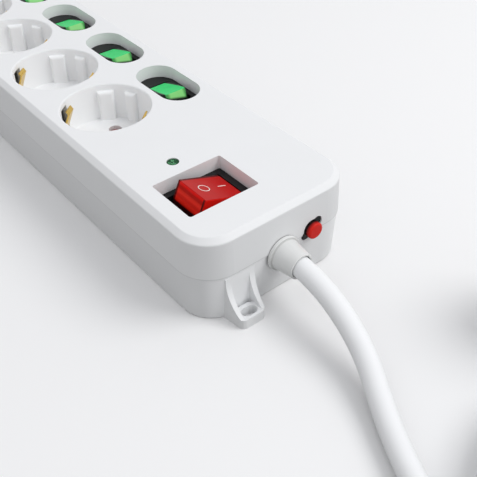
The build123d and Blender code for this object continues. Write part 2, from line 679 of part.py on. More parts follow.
def rocker(profile, width, corner):
    """Hollow rocker with level top, centred on its pivot, which lies along Y, with pins and a stem."""
    (x0, z0), (x1, z1), (x2, z2) = profile
    outline = Polyline((-x0, z0), (-x1, z1), (-x2, z2), (x2, z2), (x1, z1), (x0, z0), close=True)
    facing = Plane(origin=(0, 0, 0), x_dir=(1, 0, 0), z_dir=(0, -1, 0))
    solid = extrude(facing * make_face(outline), width / 2, both=True)
    leaning = solid.edges().filter_by(lambda e: abs(e.center().X) > x2 and abs(e.center().Y) > width / 2 - 0.01)
    leaning = leaning.filter_by(lambda e: abs(e.center().Z - z0) > 0.01)
    solid = fillet(leaning, corner)
    solid = fillet(edges_at(solid, z2), ROCKER_EDGE_ROUND)
    shell = ROCKER_SHELL
    hollow_outline = Polyline(
        (-x0 + shell, z0 - 1), (-x1 + shell, z1), (-x2 + shell, z2 - shell),
        (x2 - shell, z2 - shell), (x1 - shell, z1), (x0 - shell, z0 - 1), close=True
    )
    hollow = extrude(facing * make_face(hollow_outline), width / 2 - shell, both=True)
    solid -= hollow
    stem = Box(ROCKER_STEM_SIZE, ROCKER_STEM_SIZE + 1, z2 + ROCKER_STEM_REACH - shell / 2,
               align=(Align.CENTER, Align.CENTER, Align.MIN))
    solid += Pos(0, 0, -ROCKER_STEM_REACH) * stem
    for side in (-1, 1):
        start = side * (width / 2 - shell)
        pin = extrude(Plane(origin=(0, start, 0), x_dir=(1, 0, 0), z_dir=(0, side, 0)) * Circle(ROCKER_PIN_RADIUS),
                      shell + ROCKER_PIN_LENGTH)
        solid += pin
    return solid


def rocker_cavity(half_length, width, corner):
    """Space in a switch body for its rocker, with the pivot at the origin and along Y."""
    top = MAIN_PIVOT_DEPTH + OUTLET_PIVOT_DEPTH
    cavity = rounded_prism(
        2 * half_length, width + 2 * ROCKER_SIDE_GAP, corner, -ROCKER_CAVITY_DEPTH, ROCKER_CAVITY_DEPTH + top
    )
    reach = width / 2 + ROCKER_PIN_LENGTH + 0.15
    bore = extrude(Plane(origin=(0, -reach, 0), x_dir=(1, 0, 0), z_dir=(0, 1, 0))
                   * Circle(ROCKER_PIN_RADIUS + ROCKER_PIN_FIT), 2 * reach)
    return cavity + bore


def outlet_switch_body(x):
    """Black switch beside one outlet: stadium bezel, body and rocker space."""
    body = Pos(x, OUTLET_SWITCH_Y) * outlet_opening(-BEZEL_CLEARANCE, BEZEL_BOTTOM, BEZEL_TOP)
    body = fillet(edges_at(body, BEZEL_TOP), ROCKER_EDGE_ROUND)
    body += Pos(x, OUTLET_SWITCH_Y) * body_prism(outlet_body_size(), 0, OUTLET_BODY_BOTTOM, BEZEL_BOTTOM)
    half = swing_half(outlet_profile(), OUTLET_ROCKER_TILT, OUTLET_PIVOT_DEPTH)
    corner = OUTLET_ROCKER_CORNER - ROCKER_SIDE_GAP
    return body - Pos(x, OUTLET_SWITCH_Y, OUTLET_PIVOT_Z) * rocker_cavity(half, OUTLET_ROCKER_WIDTH, corner)


def outlet_rocker(x):
    """Green rocker of one outlet, switched on, with its +X end raised."""
    shape = rocker(outlet_profile(), OUTLET_ROCKER_WIDTH, OUTLET_ROCKER_CORNER)
    return Pos(x, OUTLET_SWITCH_Y, OUTLET_PIVOT_Z) * Rot(0, -OUTLET_ROCKER_TILT, 0) * shape


def main_switch_body():
    """Black double-pole switch in the main recess."""
    body = main_opening(-BEZEL_CLEARANCE, BEZEL_BOTTOM, BEZEL_TOP)
    body = fillet(edges_at(body, BEZEL_TOP), ROCKER_EDGE_ROUND)
    body += Pos(MAIN_SWITCH_X, MAIN_SWITCH_Y) * body_prism(main_body_size(), 0, MAIN_BODY_BOTTOM, BEZEL_BOTTOM)
    half = swing_half(main_profile(), MAIN_ROCKER_TILT, MAIN_PIVOT_DEPTH)
    cavity = rocker_cavity(half, MAIN_ROCKER_WIDTH, MAIN_ROCKER_CORNER + ROCKER_SIDE_GAP)
    return body - Pos(MAIN_SWITCH_X, MAIN_SWITCH_Y, MAIN_PIVOT_Z) * Rot(0, 0, 90) * cavity


def main_rocker():
    """Red rocker, switched on, with its -Y end raised."""
    shape = rocker(main_profile(), MAIN_ROCKER_WIDTH, MAIN_ROCKER_CORNER)
    turned = Rot(0, 0, -90) * Rot(0, -MAIN_ROCKER_TILT, 0) * shape
    return Pos(MAIN_SWITCH_X, MAIN_SWITCH_Y, MAIN_PIVOT_Z) * turned


def main_blade_spots():
    """Places of the main switch's four blades: two poles, in and out."""
    return [(MAIN_SWITCH_X + dx, MAIN_SWITCH_Y + dy) for dx in (-5.0, 5.0) for dy in (-7.0, 7.0)]


def main_switch_blades():
    """Four blades under the main switch."""
    solids = []
    for x, y in main_blade_spots():
        bottom = MAIN_BODY_BOTTOM - BLADE_LENGTH
        solids.append(block((x - BLADE_WIDTH / 2, x + BLADE_WIDTH / 2), (y - BLADE_THICKNESS / 2, y + BLADE_THICKNESS / 2),
                            (bottom, MAIN_BODY_BOTTOM)))
    return Compound(children=solids)


def glow_lamp():
    """Small neon lamp lying along X, with its lowest line at the origin."""
    glass = extrude(on_x(-LAMP_LENGTH / 2, 0, LAMP_RADIUS) * Circle(LAMP_RADIUS), LAMP_LENGTH)
    return fillet(glass.edges(), LAMP_RADIUS / 3)


def main_switch_lamp():
    """Neon lamp beside the main rocker's stem."""
    z = MAIN_PIVOT_Z - ROCKER_CAVITY_DEPTH
    return Pos(MAIN_SWITCH_X + MAIN_ROCKER_WIDTH / 4, MAIN_SWITCH_Y, z) * Rot(0, 0, 90) * glow_lamp()


def outlet_switch_lamps():
    """Neon lamps beside the outlet rockers' stems."""
    z = OUTLET_PIVOT_Z - ROCKER_CAVITY_DEPTH
    y = OUTLET_SWITCH_Y - OUTLET_ROCKER_WIDTH / 3
    return Compound(children=[Pos(x, y, z) * glow_lamp() for x in OUTLET_X])


def outlet_blade_spots(x):
    """Places of one outlet switch's blades: to the contact, and from the feed strip."""
    out_x = x + PIN_OFFSET - SLEEVE_RADIUS + STRIP_THICKNESS / 2 + BLADE_THICKNESS / 2
    return ((out_x, OUTLET_SWITCH_Y - 4.2), (x - 6.0, OUTLET_SWITCH_Y + 4.4))


def outlet_switch_blades():
    """Two blades under each outlet switch."""
    solids = []
    for x in OUTLET_X:
        (out_x, out_y), (in_x, in_y) = outlet_blade_spots(x)
        bottom = OUTLET_BODY_BOTTOM - BLADE_LENGTH
        solids.append(block((out_x - BLADE_THICKNESS / 2, out_x + BLADE_THICKNESS / 2),
                            (out_y - BLADE_WIDTH / 2, out_y + BLADE_WIDTH / 2), (bottom, OUTLET_BODY_BOTTOM)))
        solids.append(block((in_x - BLADE_WIDTH / 2, in_x + BLADE_WIDTH / 2),
                            (in_y - BLADE_THICKNESS / 2, in_y + BLADE_THICKNESS / 2), (bottom, OUTLET_BODY_BOTTOM)))
    return Compound(children=solids)


def shutter(x):
    """Turning shutter that closes both pin holes of one well."""
    bottom = CARRIER_TOP + SHUTTER_CLEARANCE
    half = math.radians(SHUTTER_HALF_ANGLE)
    edge = (SHUTTER_RADIUS * math.cos(half), SHUTTER_RADIUS * math.sin(half))
    outline = (
        Line((0, 0), (edge[0], -edge[1]))
        + ThreePointArc((edge[0], -edge[1]), (SHUTTER_RADIUS, 0), edge)
        + Line(edge, (0, 0))
    )
    blade = extrude(Plane.XY.offset(bottom) * make_face(outline), SHUTTER_THICKNESS)
    ramp_edge = edges_at(blade, bottom + SHUTTER_THICKNESS).filter_by(GeomType.LINE).sort_by(Axis.Y)[:1]
    blade = chamfer(ramp_edge, SHUTTER_THICKNESS * 0.6)
    both = blade + Rot(0, 0, 180) * blade + upright(0, 0, SHUTTER_HUB_RADIUS, bottom, bottom + SHUTTER_THICKNESS)
    both -= upright(0, 0, PIVOT_PIN_RADIUS + PIVOT_FIT, bottom - 1, bottom + SHUTTER_THICKNESS + 1)
    return Pos(x, WELL_OFFSET_Y) * Rot(0, 0, PIN_LINE_ANGLE) * both


def contact_carrier(x):
    """Insulating plate on legs under one well, with the shutter's pivot and collars for the contacts."""
    plate = upright(0, 0, CARRIER_RADIUS, CARRIER_BOTTOM, WELL_UNDERSIDE)
    plate -= upright(0, 0, CARRIER_RADIUS - CARRIER_RIM, CARRIER_TOP, WELL_UNDERSIDE + 1)
    plate += upright(0, 0, PIVOT_PIN_RADIUS, CARRIER_TOP - CARRIER_PLATE / 2, WELL_UNDERSIDE - SHUTTER_CLEARANCE / 2)
    for leg_x, leg_y in CARRIER_LEG_SPOTS:
        plate += upright(leg_x, leg_y, CARRIER_LEG_RADIUS, FLOOR_THICKNESS, CARRIER_BOTTOM + CARRIER_PLATE / 2)
    for side in (-1, 1):
        px, py = side * PIN_OFFSET, -side * PIN_OFFSET
        plate += upright(px, py, SLEEVE_RADIUS + 0.1 + COLLAR_WALL, SLEEVE_TOP - COLLAR_HEIGHT, CARRIER_BOTTOM + 0.1)
    for side in (-1, 1):
        px, py = side * PIN_OFFSET, -side * PIN_OFFSET
        plate -= upright(px, py, SLEEVE_RADIUS + 0.1, 0, CARRIER_BOTTOM)
        plate -= upright(px, py, PIN_HOLE_RADIUS, 0, CARRIER_TOP + 1)
    return Pos(x, WELL_OFFSET_Y) * plate


def pin_sleeve(slit_angle):
    """Split spring sleeve that grips one plug pin."""
    sleeve = upright(0, 0, SLEEVE_RADIUS, SLEEVE_BOTTOM, SLEEVE_TOP)
    sleeve -= upright(0, 0, PIN_RADIUS, SLEEVE_BOTTOM - 1, SLEEVE_TOP + 1)
    slit = block((0, SLEEVE_RADIUS + 1), (-SLEEVE_SLIT / 2, SLEEVE_SLIT / 2),
                 (SLEEVE_BOTTOM - 1, SLEEVE_TOP + 1))
    return sleeve - Rot(0, 0, slit_angle) * slit


def neutral_bus():
    """Brass strip on edge that joins the neutral sleeves of all outlets."""
    y = WELL_OFFSET_Y + PIN_OFFSET - SLEEVE_RADIUS
    low, high = OUTLET_X[-1] - PIN_OFFSET - SLEEVE_RADIUS, OUTLET_X[0] + STRIP_END_REACH + 2
    bus = block((low, high), (y - STRIP_THICKNESS / 2, y + STRIP_THICKNESS / 2), (NEUTRAL_STRIP_BOTTOM, NEUTRAL_STRIP_TOP))
    for x in OUTLET_X:
        spot = (x - PIN_OFFSET, WELL_OFFSET_Y + PIN_OFFSET)
        bus -= upright(*spot, PIN_RADIUS + SLEEVE_WALL / 2, 0, CARRIER_BOTTOM)
        bus += Pos(*spot) * pin_sleeve(90)
    return bus


def line_contact(x):
    """Sleeve and tab that join one outlet to its switch."""
    spot = (x + PIN_OFFSET, WELL_OFFSET_Y - PIN_OFFSET)
    tab_x = spot[0] - SLEEVE_RADIUS
    tab_end = OUTLET_SWITCH_Y - 4.2 + BLADE_WIDTH / 2
    tab = block((tab_x - STRIP_THICKNESS / 2, tab_x + STRIP_THICKNESS / 2), (spot[1], tab_end),
                (LINE_TAB_BOTTOM, LINE_TAB_TOP))
    tab -= upright(*spot, PIN_RADIUS + SLEEVE_WALL / 2, 0, CARRIER_BOTTOM)
    return tab + Pos(*spot) * pin_sleeve(-90)


def line_bus():
    """Brass strip on edge that feeds all the outlet switches."""
    y = OUTLET_SWITCH_Y + 4.4 + BLADE_THICKNESS / 2
    low, high = OUTLET_X[-1] - 6.0 - BLADE_WIDTH / 2, OUTLET_X[0] + STRIP_END_REACH
    return block((low, high), (y, y + STRIP_THICKNESS), (LINE_STRIP_BOTTOM, LINE_STRIP_TOP))


def earth_clip():
    """Sprung brass clip at one well, standing in the plane of +X, with its foot on the floor."""
    foot, top = FLOOR_THICKNESS + EARTH_STRIP_THICKNESS / 2, CASING_HEIGHT - CLIP_TOP_INSET
    path = Polyline(
        (CLIP_RING, foot),
        (CLIP_RING, WELL_FLOOR_Z + 3.0),
        (CLIP_RING - CLIP_BULGE, top - CLIP_LIP_HEIGHT),
        (CLIP_RING - CLIP_BULGE + CLIP_LIP_LEAN, top),
    )
    facing = Plane(origin=(0, 0, 0), x_dir=(1, 0, 0), z_dir=(0, -1, 0))
    return extrude(facing * trace(path, CLIP_THICKNESS), CLIP_WIDTH / 2, both=True)


def earth_bus():
    """Earth strip on the floor with a pair of clips for each well."""
    low, high = OUTLET_X[-1] - CLIP_OFFSET - CLIP_WIDTH, OUTLET_X[0] + STRIP_END_REACH
    y = WELL_OFFSET_Y - CLIP_OFFSET
    half = EARTH_STRIP_WIDTH / 2
    z = (FLOOR_THICKNESS, FLOOR_THICKNESS + EARTH_STRIP_THICKNESS)
    bus = block((low, high), (y - half, y + half), z)
    clip = earth_clip()
    for x in OUTLET_X:
        bus += block((x + CLIP_OFFSET - half, x + CLIP_OFFSET + half), (y, WELL_OFFSET_Y + CLIP_OFFSET), z)
        for angle in (PIN_LINE_ANGLE - 90, PIN_LINE_ANGLE + 90):
            bus += Pos(x, WELL_OFFSET_Y) * Rot(0, 0, angle - CLIP_SKEW) * clip
    return bus


def indicator_lens():
    """Green light pipe that shows whether the surge protection is alive."""
    top = CASING_HEIGHT - INDICATOR_RECESS
    seat = COVER_UNDERSIDE - 1.2
    lens = upright(INDICATOR_X, INDICATOR_Y, INDICATOR_RADIUS - 0.05, seat - INDICATOR_FLANGE, top)
    lens += upright(INDICATOR_X, INDICATOR_Y, INDICATOR_RADIUS + 1, seat - INDICATOR_FLANGE, seat)
    return lens + upright(INDICATOR_X, INDICATOR_Y, INDICATOR_RADIUS - 0.6, top - INDICATOR_LENGTH, seat)


def indicator_led():
    """Small lamp on the board, under the light pipe."""
    top = CASING_HEIGHT - INDICATOR_RECESS - INDICATOR_LENGTH
    board_top = BOARD_HEIGHT + BOARD_THICKNESS
    led = upright(INDICATOR_X, INDICATOR_Y, 1.9, board_top, board_top + 1)
    led += upright(INDICATOR_X, INDICATOR_Y, 1.5, board_top, top - 0.1)
    return led


def protection_board():
    """Circuit board on four posts."""
    x, y = board_corner()
    return block((x, x + BOARD_LENGTH), (y, y + BOARD_WIDTH), (BOARD_HEIGHT, BOARD_HEIGHT + BOARD_THICKNESS))


def varistors():
    """Row of disc varistors standing on the board."""
    x, y = board_corner()
    z = BOARD_HEIGHT + BOARD_THICKNESS + VARISTOR_RADIUS
    solids = []
    for i in range(VARISTOR_COUNT):
        start = x + 3 + i * VARISTOR_PITCH
        disc = along_x(start, start + VARISTOR_THICKNESS, y + VARISTOR_RADIUS + 1.5, z, VARISTOR_RADIUS)
        solids.append(fillet(disc.edges().filter_by(GeomType.CIRCLE), 0.8))
    return Compound(children=solids)


def film_capacitor():
    """Box-shaped capacitor on the board."""
    x, y = board_corner()
    length, width, height = CAPACITOR_SIZE
    top_y = y + BOARD_WIDTH - 2
    base = BOARD_HEIGHT + BOARD_THICKNESS
    box = block((x + 2, x + 2 + length), (top_y - width, top_y), (base, base + height))
    return fillet(box.edges().filter_by(Axis.Z), 0.8)


def breaker_body():
    """Black overload breaker behind the near end wall."""
    rear = BREAKER_FRONT - BREAKER_LENGTH
    half_y, half_z = BREAKER_WIDTH / 2, BREAKER_HEIGHT / 2
    body = block((rear, BREAKER_FRONT), (BREAKER_Y - half_y, BREAKER_Y + half_y), (BREAKER_Z - half_z, BREAKER_Z + half_z))
    body = fillet(body.edges().filter_by(Axis.Y), 1.0)
    bezel = on_x(BREAKER_FRONT - 0.5, BREAKER_Y, BREAKER_Z) * reset_outline(BREAKER_BEZEL_GAP)
    body += extrude(bezel, HALF_LENGTH - PARTING_STEP - BREAKER_BEZEL_INSET - BREAKER_FRONT + 0.5)
    bore_start = HALF_LENGTH + RESET_BUTTON_REACH - RESET_BUTTON_LENGTH - RESET_PRESS - 0.5
    return body - along_x(bore_start, HALF_LENGTH, BREAKER_Y, BREAKER_Z, RESET_BUTTON_RADIUS + RESET_BUTTON_FIT)


def breaker_blades():
    """Two blades at the back of the breaker."""
    rear = BREAKER_FRONT - BREAKER_LENGTH
    solids = []
    for dz in (-8.0, 8.0):
        z = BREAKER_Z + dz
        solids.append(block((rear - BLADE_LENGTH, rear), (BREAKER_Y - BLADE_WIDTH / 2, BREAKER_Y + BLADE_WIDTH / 2),
                            (z - BLADE_THICKNESS / 2, z + BLADE_THICKNESS / 2)))
    return Compound(children=solids)


def reset_button():
    """Red button that resets the breaker when it is pushed in."""
    tip = HALF_LENGTH + RESET_BUTTON_REACH
    button = along_x(tip - RESET_BUTTON_LENGTH, tip, BREAKER_Y, BREAKER_Z, RESET_BUTTON_RADIUS)
    return fillet(button.edges().sort_by(Axis.X)[-1:], RESET_BUTTON_DOME)


def cable_gland():
    """Moulded gland, clamped by its neck between the shells."""
    start = -WALL - PARTING_STEP - GLAND_INNER_REACH
    wall_inner = -WALL - PARTING_STEP - 0.6
    outline = Polyline(
        (start, CORD_RADIUS + GLAND_BORE_GAP),
        (start, GLAND_FLANGE_RADIUS),
        (wall_inner, GLAND_FLANGE_RADIUS),
        (wall_inner, GLAND_NECK_RADIUS),
        (0.05, GLAND_NECK_RADIUS),
        (0.05, GLAND_FLANGE_RADIUS),
        (GLAND_FLANGE_THICKNESS, GLAND_FLANGE_RADIUS),
        (GLAND_FLANGE_THICKNESS, GLAND_BARREL_RADIUS),
        (GLAND_REACH, GLAND_TIP_RADIUS),
        (GLAND_REACH, GLAND_MOUTH_RADIUS),
        (GLAND_REACH - GLAND_MOUTH_DEPTH, GLAND_MOUTH_RADIUS),
        (GLAND_REACH - GLAND_MOUTH_DEPTH, CORD_RADIUS + GLAND_BORE_GAP),
        close=True,
    )
    facing = Plane(origin=(0, 0, 0), x_dir=(1, 0, 0), z_dir=(0, -1, 0))
    gland = revolve(facing * make_face(outline), Axis.X, 360)
    tip = gland.edges().filter_by(GeomType.CIRCLE).filter_by(lambda e: e.center().X > GLAND_REACH - 0.01)
    gland = fillet(tip.sort_by(lambda e: e.radius)[-1:], GLAND_TIP_ROUND)
    rim = gland.edges().filter_by(GeomType.CIRCLE).filter_by(
        lambda e: abs(e.center().X - GLAND_FLANGE_THICKNESS) < 0.01 and e.radius > GLAND_BARREL_RADIUS + 0.1)
    gland = fillet(rim, 0.5)
    return Pos(HALF_LENGTH, 0, CORD_AXIS_HEIGHT) * gland


def cord_sheath_end():
    """Sheathed end of the cord, from the gland's mouth to inside the clamp."""
    return along_x(SHEATH_END_X, CORD_ROUTE[0][0], 0, CORD_AXIS_HEIGHT, CORD_RADIUS)


def clamp_saddle():
    """Saddle that presses the cord onto its pedestal."""
    low = CORD_AXIS_HEIGHT + CLAMP_GAP
    top = CORD_AXIS_HEIGHT + CLAMP_HEIGHT
    saddle = block((CLAMP_X, CLAMP_X + CLAMP_LENGTH), (-CLAMP_HALF_WIDTH, CLAMP_HALF_WIDTH), (low, top))
    saddle = fillet(saddle.edges().filter_by(Axis.X).sort_by(Axis.Z)[2:], 1.5)
    saddle -= along_x(CLAMP_X - 1, CLAMP_X + CLAMP_LENGTH + 1, 0, CORD_AXIS_HEIGHT, CORD_RADIUS)
    for side in (-1, 1):
        saddle -= upright(CLAMP_X + CLAMP_LENGTH / 2, side * CLAMP_SCREW_Y, CLAMP_SCREW_RADIUS + 0.1, 0, top + 1)
    return saddle


def clamp_screws():
    """Two screws of the cord clamp."""
    seat = CORD_AXIS_HEIGHT + CLAMP_HEIGHT
    x = CLAMP_X + CLAMP_LENGTH / 2
    solids = []
    for side in (-1, 1):
        y = side * CLAMP_SCREW_Y
        screw = upright(x, y, CLAMP_SCREW_HEAD, seat, seat + CLAMP_SCREW_HEAD_HEIGHT)
        solids.append(screw + upright(x, y, CLAMP_SCREW_RADIUS - 0.05, clamp_screw_bottom(), seat))
    return Compound(children=solids)


def swept_wire(points, bend):
    """Round insulated core along straight runs with rounded corners."""
    path = FilletPolyline(*points, radius=bend)
    start = Vector(*points[0])
    section = Plane(origin=start, z_dir=Vector(*points[1]) - start) * Circle(CORE_RADIUS)
    return sweep(section, path=path)


def core_spot(angle):
    """Place of one core in the cord's cut end."""
    turn = math.radians(angle)
    return (SHEATH_END_X, CORE_RING * math.cos(turn), CORD_AXIS_HEIGHT + CORE_RING * math.sin(turn))


def wiring():
    """Line, neutral and earth cores between the cord, the breaker, the main switch and the strips."""
    x0 = SHEATH_END_X
    low = FLOOR_THICKNESS + CORE_RADIUS + 1.2
    blade_end = MAIN_BODY_BOTTOM - BLADE_LENGTH
    (lx, ly_out), (_, ly_in), (nx, ny_out), (_, ny_in) = main_blade_spots()
    rear = BREAKER_FRONT - BREAKER_LENGTH - BLADE_LENGTH
    top = core_spot(90)
    right = core_spot(-30)
    left = core_spot(210)
    corridor_y = 5.0
    lower_z, upper_z = BREAKER_Z - 8.0, BREAKER_Z + 8.0
    bus_y = OUTLET_SWITCH_Y + 4.4 + (BLADE_THICKNESS + STRIP_THICKNESS) / 2
    neutral_y = WELL_OFFSET_Y + PIN_OFFSET - SLEEVE_RADIUS
    earth_y = WELL_OFFSET_Y - CLIP_OFFSET
    strip_end = OUTLET_X[0] + STRIP_END_REACH
    board_x, board_y = board_corner()
    line = [
        swept_wire([top, (x0 - 3, top[1], top[2]), (x0 - 9, corridor_y, top[2]), (x0 - 22, corridor_y, top[2]),
                    (rear - 9, BREAKER_Y - 4, lower_z), (rear - 5, BREAKER_Y, lower_z), (rear, BREAKER_Y, lower_z)], 1.6),
        swept_wire([(rear, BREAKER_Y, upper_z), (rear - 12, BREAKER_Y, upper_z), (rear - 14, 5, low),
                    (lx - 2, ly_in + 1, low), (lx, ly_in, low + 0.6), (lx, ly_in, blade_end)], 1.6),
        swept_wire([(lx, ly_out, blade_end), (lx, ly_out, low), (lx - 14, ly_out + 6.5, low),
                    (strip_end + 16, bus_y - 5, (LINE_STRIP_BOTTOM + LINE_STRIP_TOP) / 2),
                    (strip_end + 6, bus_y, (LINE_STRIP_BOTTOM + LINE_STRIP_TOP) / 2),
                    (strip_end, bus_y, (LINE_STRIP_BOTTOM + LINE_STRIP_TOP) / 2)], 1.6),
    ]
    neutral_z = (NEUTRAL_STRIP_BOTTOM + NEUTRAL_STRIP_TOP) / 2
    neutral = [
        swept_wire([right, (x0 - 3, right[1], right[2]), (x0 - 4.2, -1.0, low + 1), (nx + 1, ny_in + 1, low),
                    (nx, ny_in, low + 0.6), (nx, ny_in, blade_end)], 1.0),
        swept_wire([(nx, ny_out, blade_end), (nx, ny_out, low), (nx - 4, board_y + 3.4, low),
                    (board_x + 12, board_y + 3.4, low), (strip_end + 8, neutral_y, neutral_z),
                    (strip_end + 2, neutral_y, neutral_z)], 1.6),
    ]
    earth = swept_wire([left, (x0 - 3, left[1], left[2]), (x0 - 4, -8, low), (x0 - 5, board_y - 1.0, low),
                        (strip_end + 6, board_y - 1.0, low), (strip_end + 3, earth_y, FLOOR_THICKNESS + CORE_RADIUS),
                        (strip_end, earth_y, FLOOR_THICKNESS + CORE_RADIUS)], 1.6)
    return Compound(children=line), Compound(children=neutral), earth


def cord_lead():
    """Free cord from the gland's mouth to the coil, as straight runs joined by tangent arcs."""
    points = [Vector(*p) for p in CORD_ROUTE]
    radii = []
    for before, here, after in zip(points, points[1:], points[2:]):
        turn = (here - before).get_angle(after - here)
        shorter = min((here - before).length, (after - here).length)
        radii.append(CORD_ARC_SHARE * shorter / math.tan(math.radians(turn / 2)))
    path = FilletPolyline(*points, radius=radii)
    section = Plane(origin=points[0], z_dir=points[1] - points[0]) * Circle(CORD_RADIUS)
    lead = sweep(section, path=path)
    expected = math.pi * CORD_RADIUS**2 * path.length
    print("lead bend radii", [round(r, 1) for r in radii])
    print("lead length", round(path.length, 1), "volume ratio", round(lead.volume / expected, 5))
    return lead, path.length


def coil_path():
    """Centre line of the coil: a spiral inwards, one half turn that climbs, and a spiral outwards."""
    half_pitch = COIL_PITCH / 2
    half_turns = 2 * COIL_TURNS_PER_LAYER
    inward = [COIL_OUTER_RADIUS - k * half_pitch for k in range(half_turns + 1)]
    innermost = [inward[-1] - half_pitch / 4, inward[-1] - half_pitch / 2]
    outward = [COIL_OUTER_RADIUS - k * half_pitch for k in range(half_turns - 1, -1, -1)]
    crossings = inward[:-1] + innermost + outward
    start = Vector(*CORD_ROUTE[-1])
    straight = 2 * CORD_RADIUS
    centre = start + Vector(straight, COIL_OUTER_RADIUS, 0)
    pieces = [Line(start, start + Vector(straight, 0, 0))]
    for k in range(len(crossings) - 1):
        side = -1 if k % 2 == 0 else 1
        before, after = crossings[k], crossings[k + 1]
        low = 0 if k <= half_turns else COIL_PITCH
        high = 0 if k < half_turns else COIL_PITCH
        first = centre + Vector(0, side * before, low)
        last = centre + Vector(0, -side * after, high)
        middle = (first + last) * 0.5 + Vector(-side * (first - last).length / 2, 0, 0)
        pieces.append(ThreePointArc(first, middle, last))

    def upper(turn):
        angle = math.radians(turn)
        drop = COIL_END_RADIUS * (1 - math.cos(angle))
        return centre + Vector(-COIL_END_RADIUS * math.sin(angle), crossings[-1] - drop, COIL_PITCH)

    pieces.append(ThreePointArc(upper(0), upper(COIL_END_TURN / 2), upper(COIL_END_TURN)))
    end = pieces[-1] @ 1
    direction = pieces[-1] % 1
    pieces.append(Line(end, end + direction * COIL_END_STRAIGHT))
    return Wire([edge for piece in pieces for edge in piece.edges()])


def coil_gap(path):
    """Least gap of the coiled cord to itself, on points along its centre line."""
    count = 900
    step = path.length / count
    points = [path.position_at(i / count) for i in range(count + 1)]
    skip = int(3 * CORD_RADIUS / step) + 1
    least = min(
        (points[i] - points[j]).length for i in range(0, count + 1, 3) for j in range(i + skip, count + 1)
        if j - i > skip
    )
    return least - 2 * CORD_RADIUS


def cord_coil():
    """Put-away length of the cord, wound in two layers."""
    path = coil_path()
    start = path @ 0
    section = Plane(origin=start, z_dir=path % 0) * Circle(CORD_RADIUS)
    coil = sweep(section, path=path)
    expected = math.pi * CORD_RADIUS**2 * path.length
    print("coil length", round(path.length, 1), "volume ratio", round(coil.volume / expected, 5))
    print("coil least gap to itself", round(coil_gap(path), 2))
    return coil, path


def plug_place(path):
    """Place of the plug on the surface, beyond the coil's end and in line with it."""
    end, heading = path @ 1, path % 1
    reach = PLUG_RELIEF_LENGTH + PLUG_GRIP_RADIUS - 2
    turn = math.degrees(math.atan2(heading.Y, heading.X)) - 90
    return Pos(end.X + reach * heading.X, end.Y + reach * heading.Y, 0) * Rot(0, 0, turn)


def plug_body(path):
    """Moulded plug with side entry: grip, nose, strain relief, flats and earth slots."""
    end = path @ 1
    grip = upright(0, 0, PLUG_GRIP_RADIUS, 0, PLUG_GRIP_HEIGHT)
    grip = fillet(grip.edges().filter_by(GeomType.CIRCLE), PLUG_EDGE_ROUND)
    face = PLUG_GRIP_HEIGHT + PLUG_NOSE_HEIGHT
    nose = upright(0, 0, PLUG_NOSE_RADIUS - PLUG_EDGE_ROUND / 2, PLUG_GRIP_HEIGHT - 2, face)
    keep = block((-PLUG_FLAT, PLUG_FLAT), (-PLUG_GRIP_RADIUS, PLUG_GRIP_RADIUS), (PLUG_GRIP_HEIGHT - 2, face))
    nose = nose & keep
    nose = chamfer(edges_at(nose, face), 0.8)
    for side in (-1, 1):
        depth = PLUG_NOSE_RADIUS - PLUG_EDGE_ROUND / 2 - PLUG_SLOT_DEPTH
        nose -= block((-PLUG_SLOT_WIDTH / 2, PLUG_SLOT_WIDTH / 2),
                      tuple(sorted((side * depth, side * PLUG_GRIP_RADIUS))), (PLUG_GRIP_HEIGHT, face + 1))
    body = grip + nose
    reach = PLUG_RELIEF_LENGTH + PLUG_GRIP_RADIUS - 2
    step = PLUG_RELIEF_LENGTH / (2 * PLUG_RELIEF_RINGS)
    facing = Plane(origin=(0, -reach, end.Z), x_dir=(1, 0, 0), z_dir=(0, 1, 0))
    taper = PLUG_RELIEF_ROOT - PLUG_RELIEF_TIP
    core = loft([facing * Circle(PLUG_RELIEF_TIP - 0.9),
                 facing.offset(PLUG_RELIEF_LENGTH) * Circle(PLUG_RELIEF_ROOT - 0.9)])
    for k in range(PLUG_RELIEF_RINGS):
        radius = PLUG_RELIEF_TIP + taper * (2 * k + 1) / (2 * PLUG_RELIEF_RINGS)
        core += extrude(facing.offset(2 * k * step) * Circle(radius), step)
    core += extrude(facing.offset(PLUG_RELIEF_LENGTH - step) * Circle(PLUG_RELIEF_ROOT), PLUG_GRIP_RADIUS)
    body += core
    for side in (-1, 1):
        body -= upright(side * PIN_SPACING / 2, 0, PLUG_PIN_NECK_RADIUS, face - PLUG_PIN_ROOT, face + 1)
        body -= upright(side * PIN_SPACING / 2, 0, PLUG_PIN_RECESS_RADIUS, face - PLUG_PIN_RECESS_DEPTH, face + 1)
    return plug_place(path) * body


def plug_pins(path):
    """Two round pins, each held by a thinner neck in the plug's face."""
    face = PLUG_GRIP_HEIGHT + PLUG_NOSE_HEIGHT
    solids = []
    for side in (-1, 1):
        pin = upright(side * PIN_SPACING / 2, 0, PIN_RADIUS, face, face + PIN_LENGTH)
        pin = fillet(pin.edges().sort_by(Axis.Z)[-1:], PIN_RADIUS * 0.6)
        pin += upright(side * PIN_SPACING / 2, 0, PLUG_PIN_NECK_RADIUS, face - PLUG_PIN_ROOT, face)
        solids.append(plug_place(path) * pin)
    return Compound(children=solids)


def plug_earth_strips(path):
    """Brass strips in the plug's two earth slots."""
    face = PLUG_GRIP_HEIGHT + PLUG_NOSE_HEIGHT
    seat = PLUG_NOSE_RADIUS - PLUG_EDGE_ROUND / 2 - PLUG_SLOT_DEPTH
    solids = []
    for side in (-1, 1):
        span = tuple(sorted((side * seat, side * (seat + CLIP_THICKNESS))))
        strip = block((-PLUG_CLIP_WIDTH / 2, PLUG_CLIP_WIDTH / 2), span, (PLUG_GRIP_HEIGHT, face - 1.5))
        solids.append(plug_place(path) * strip)
    return Compound(children=solids)


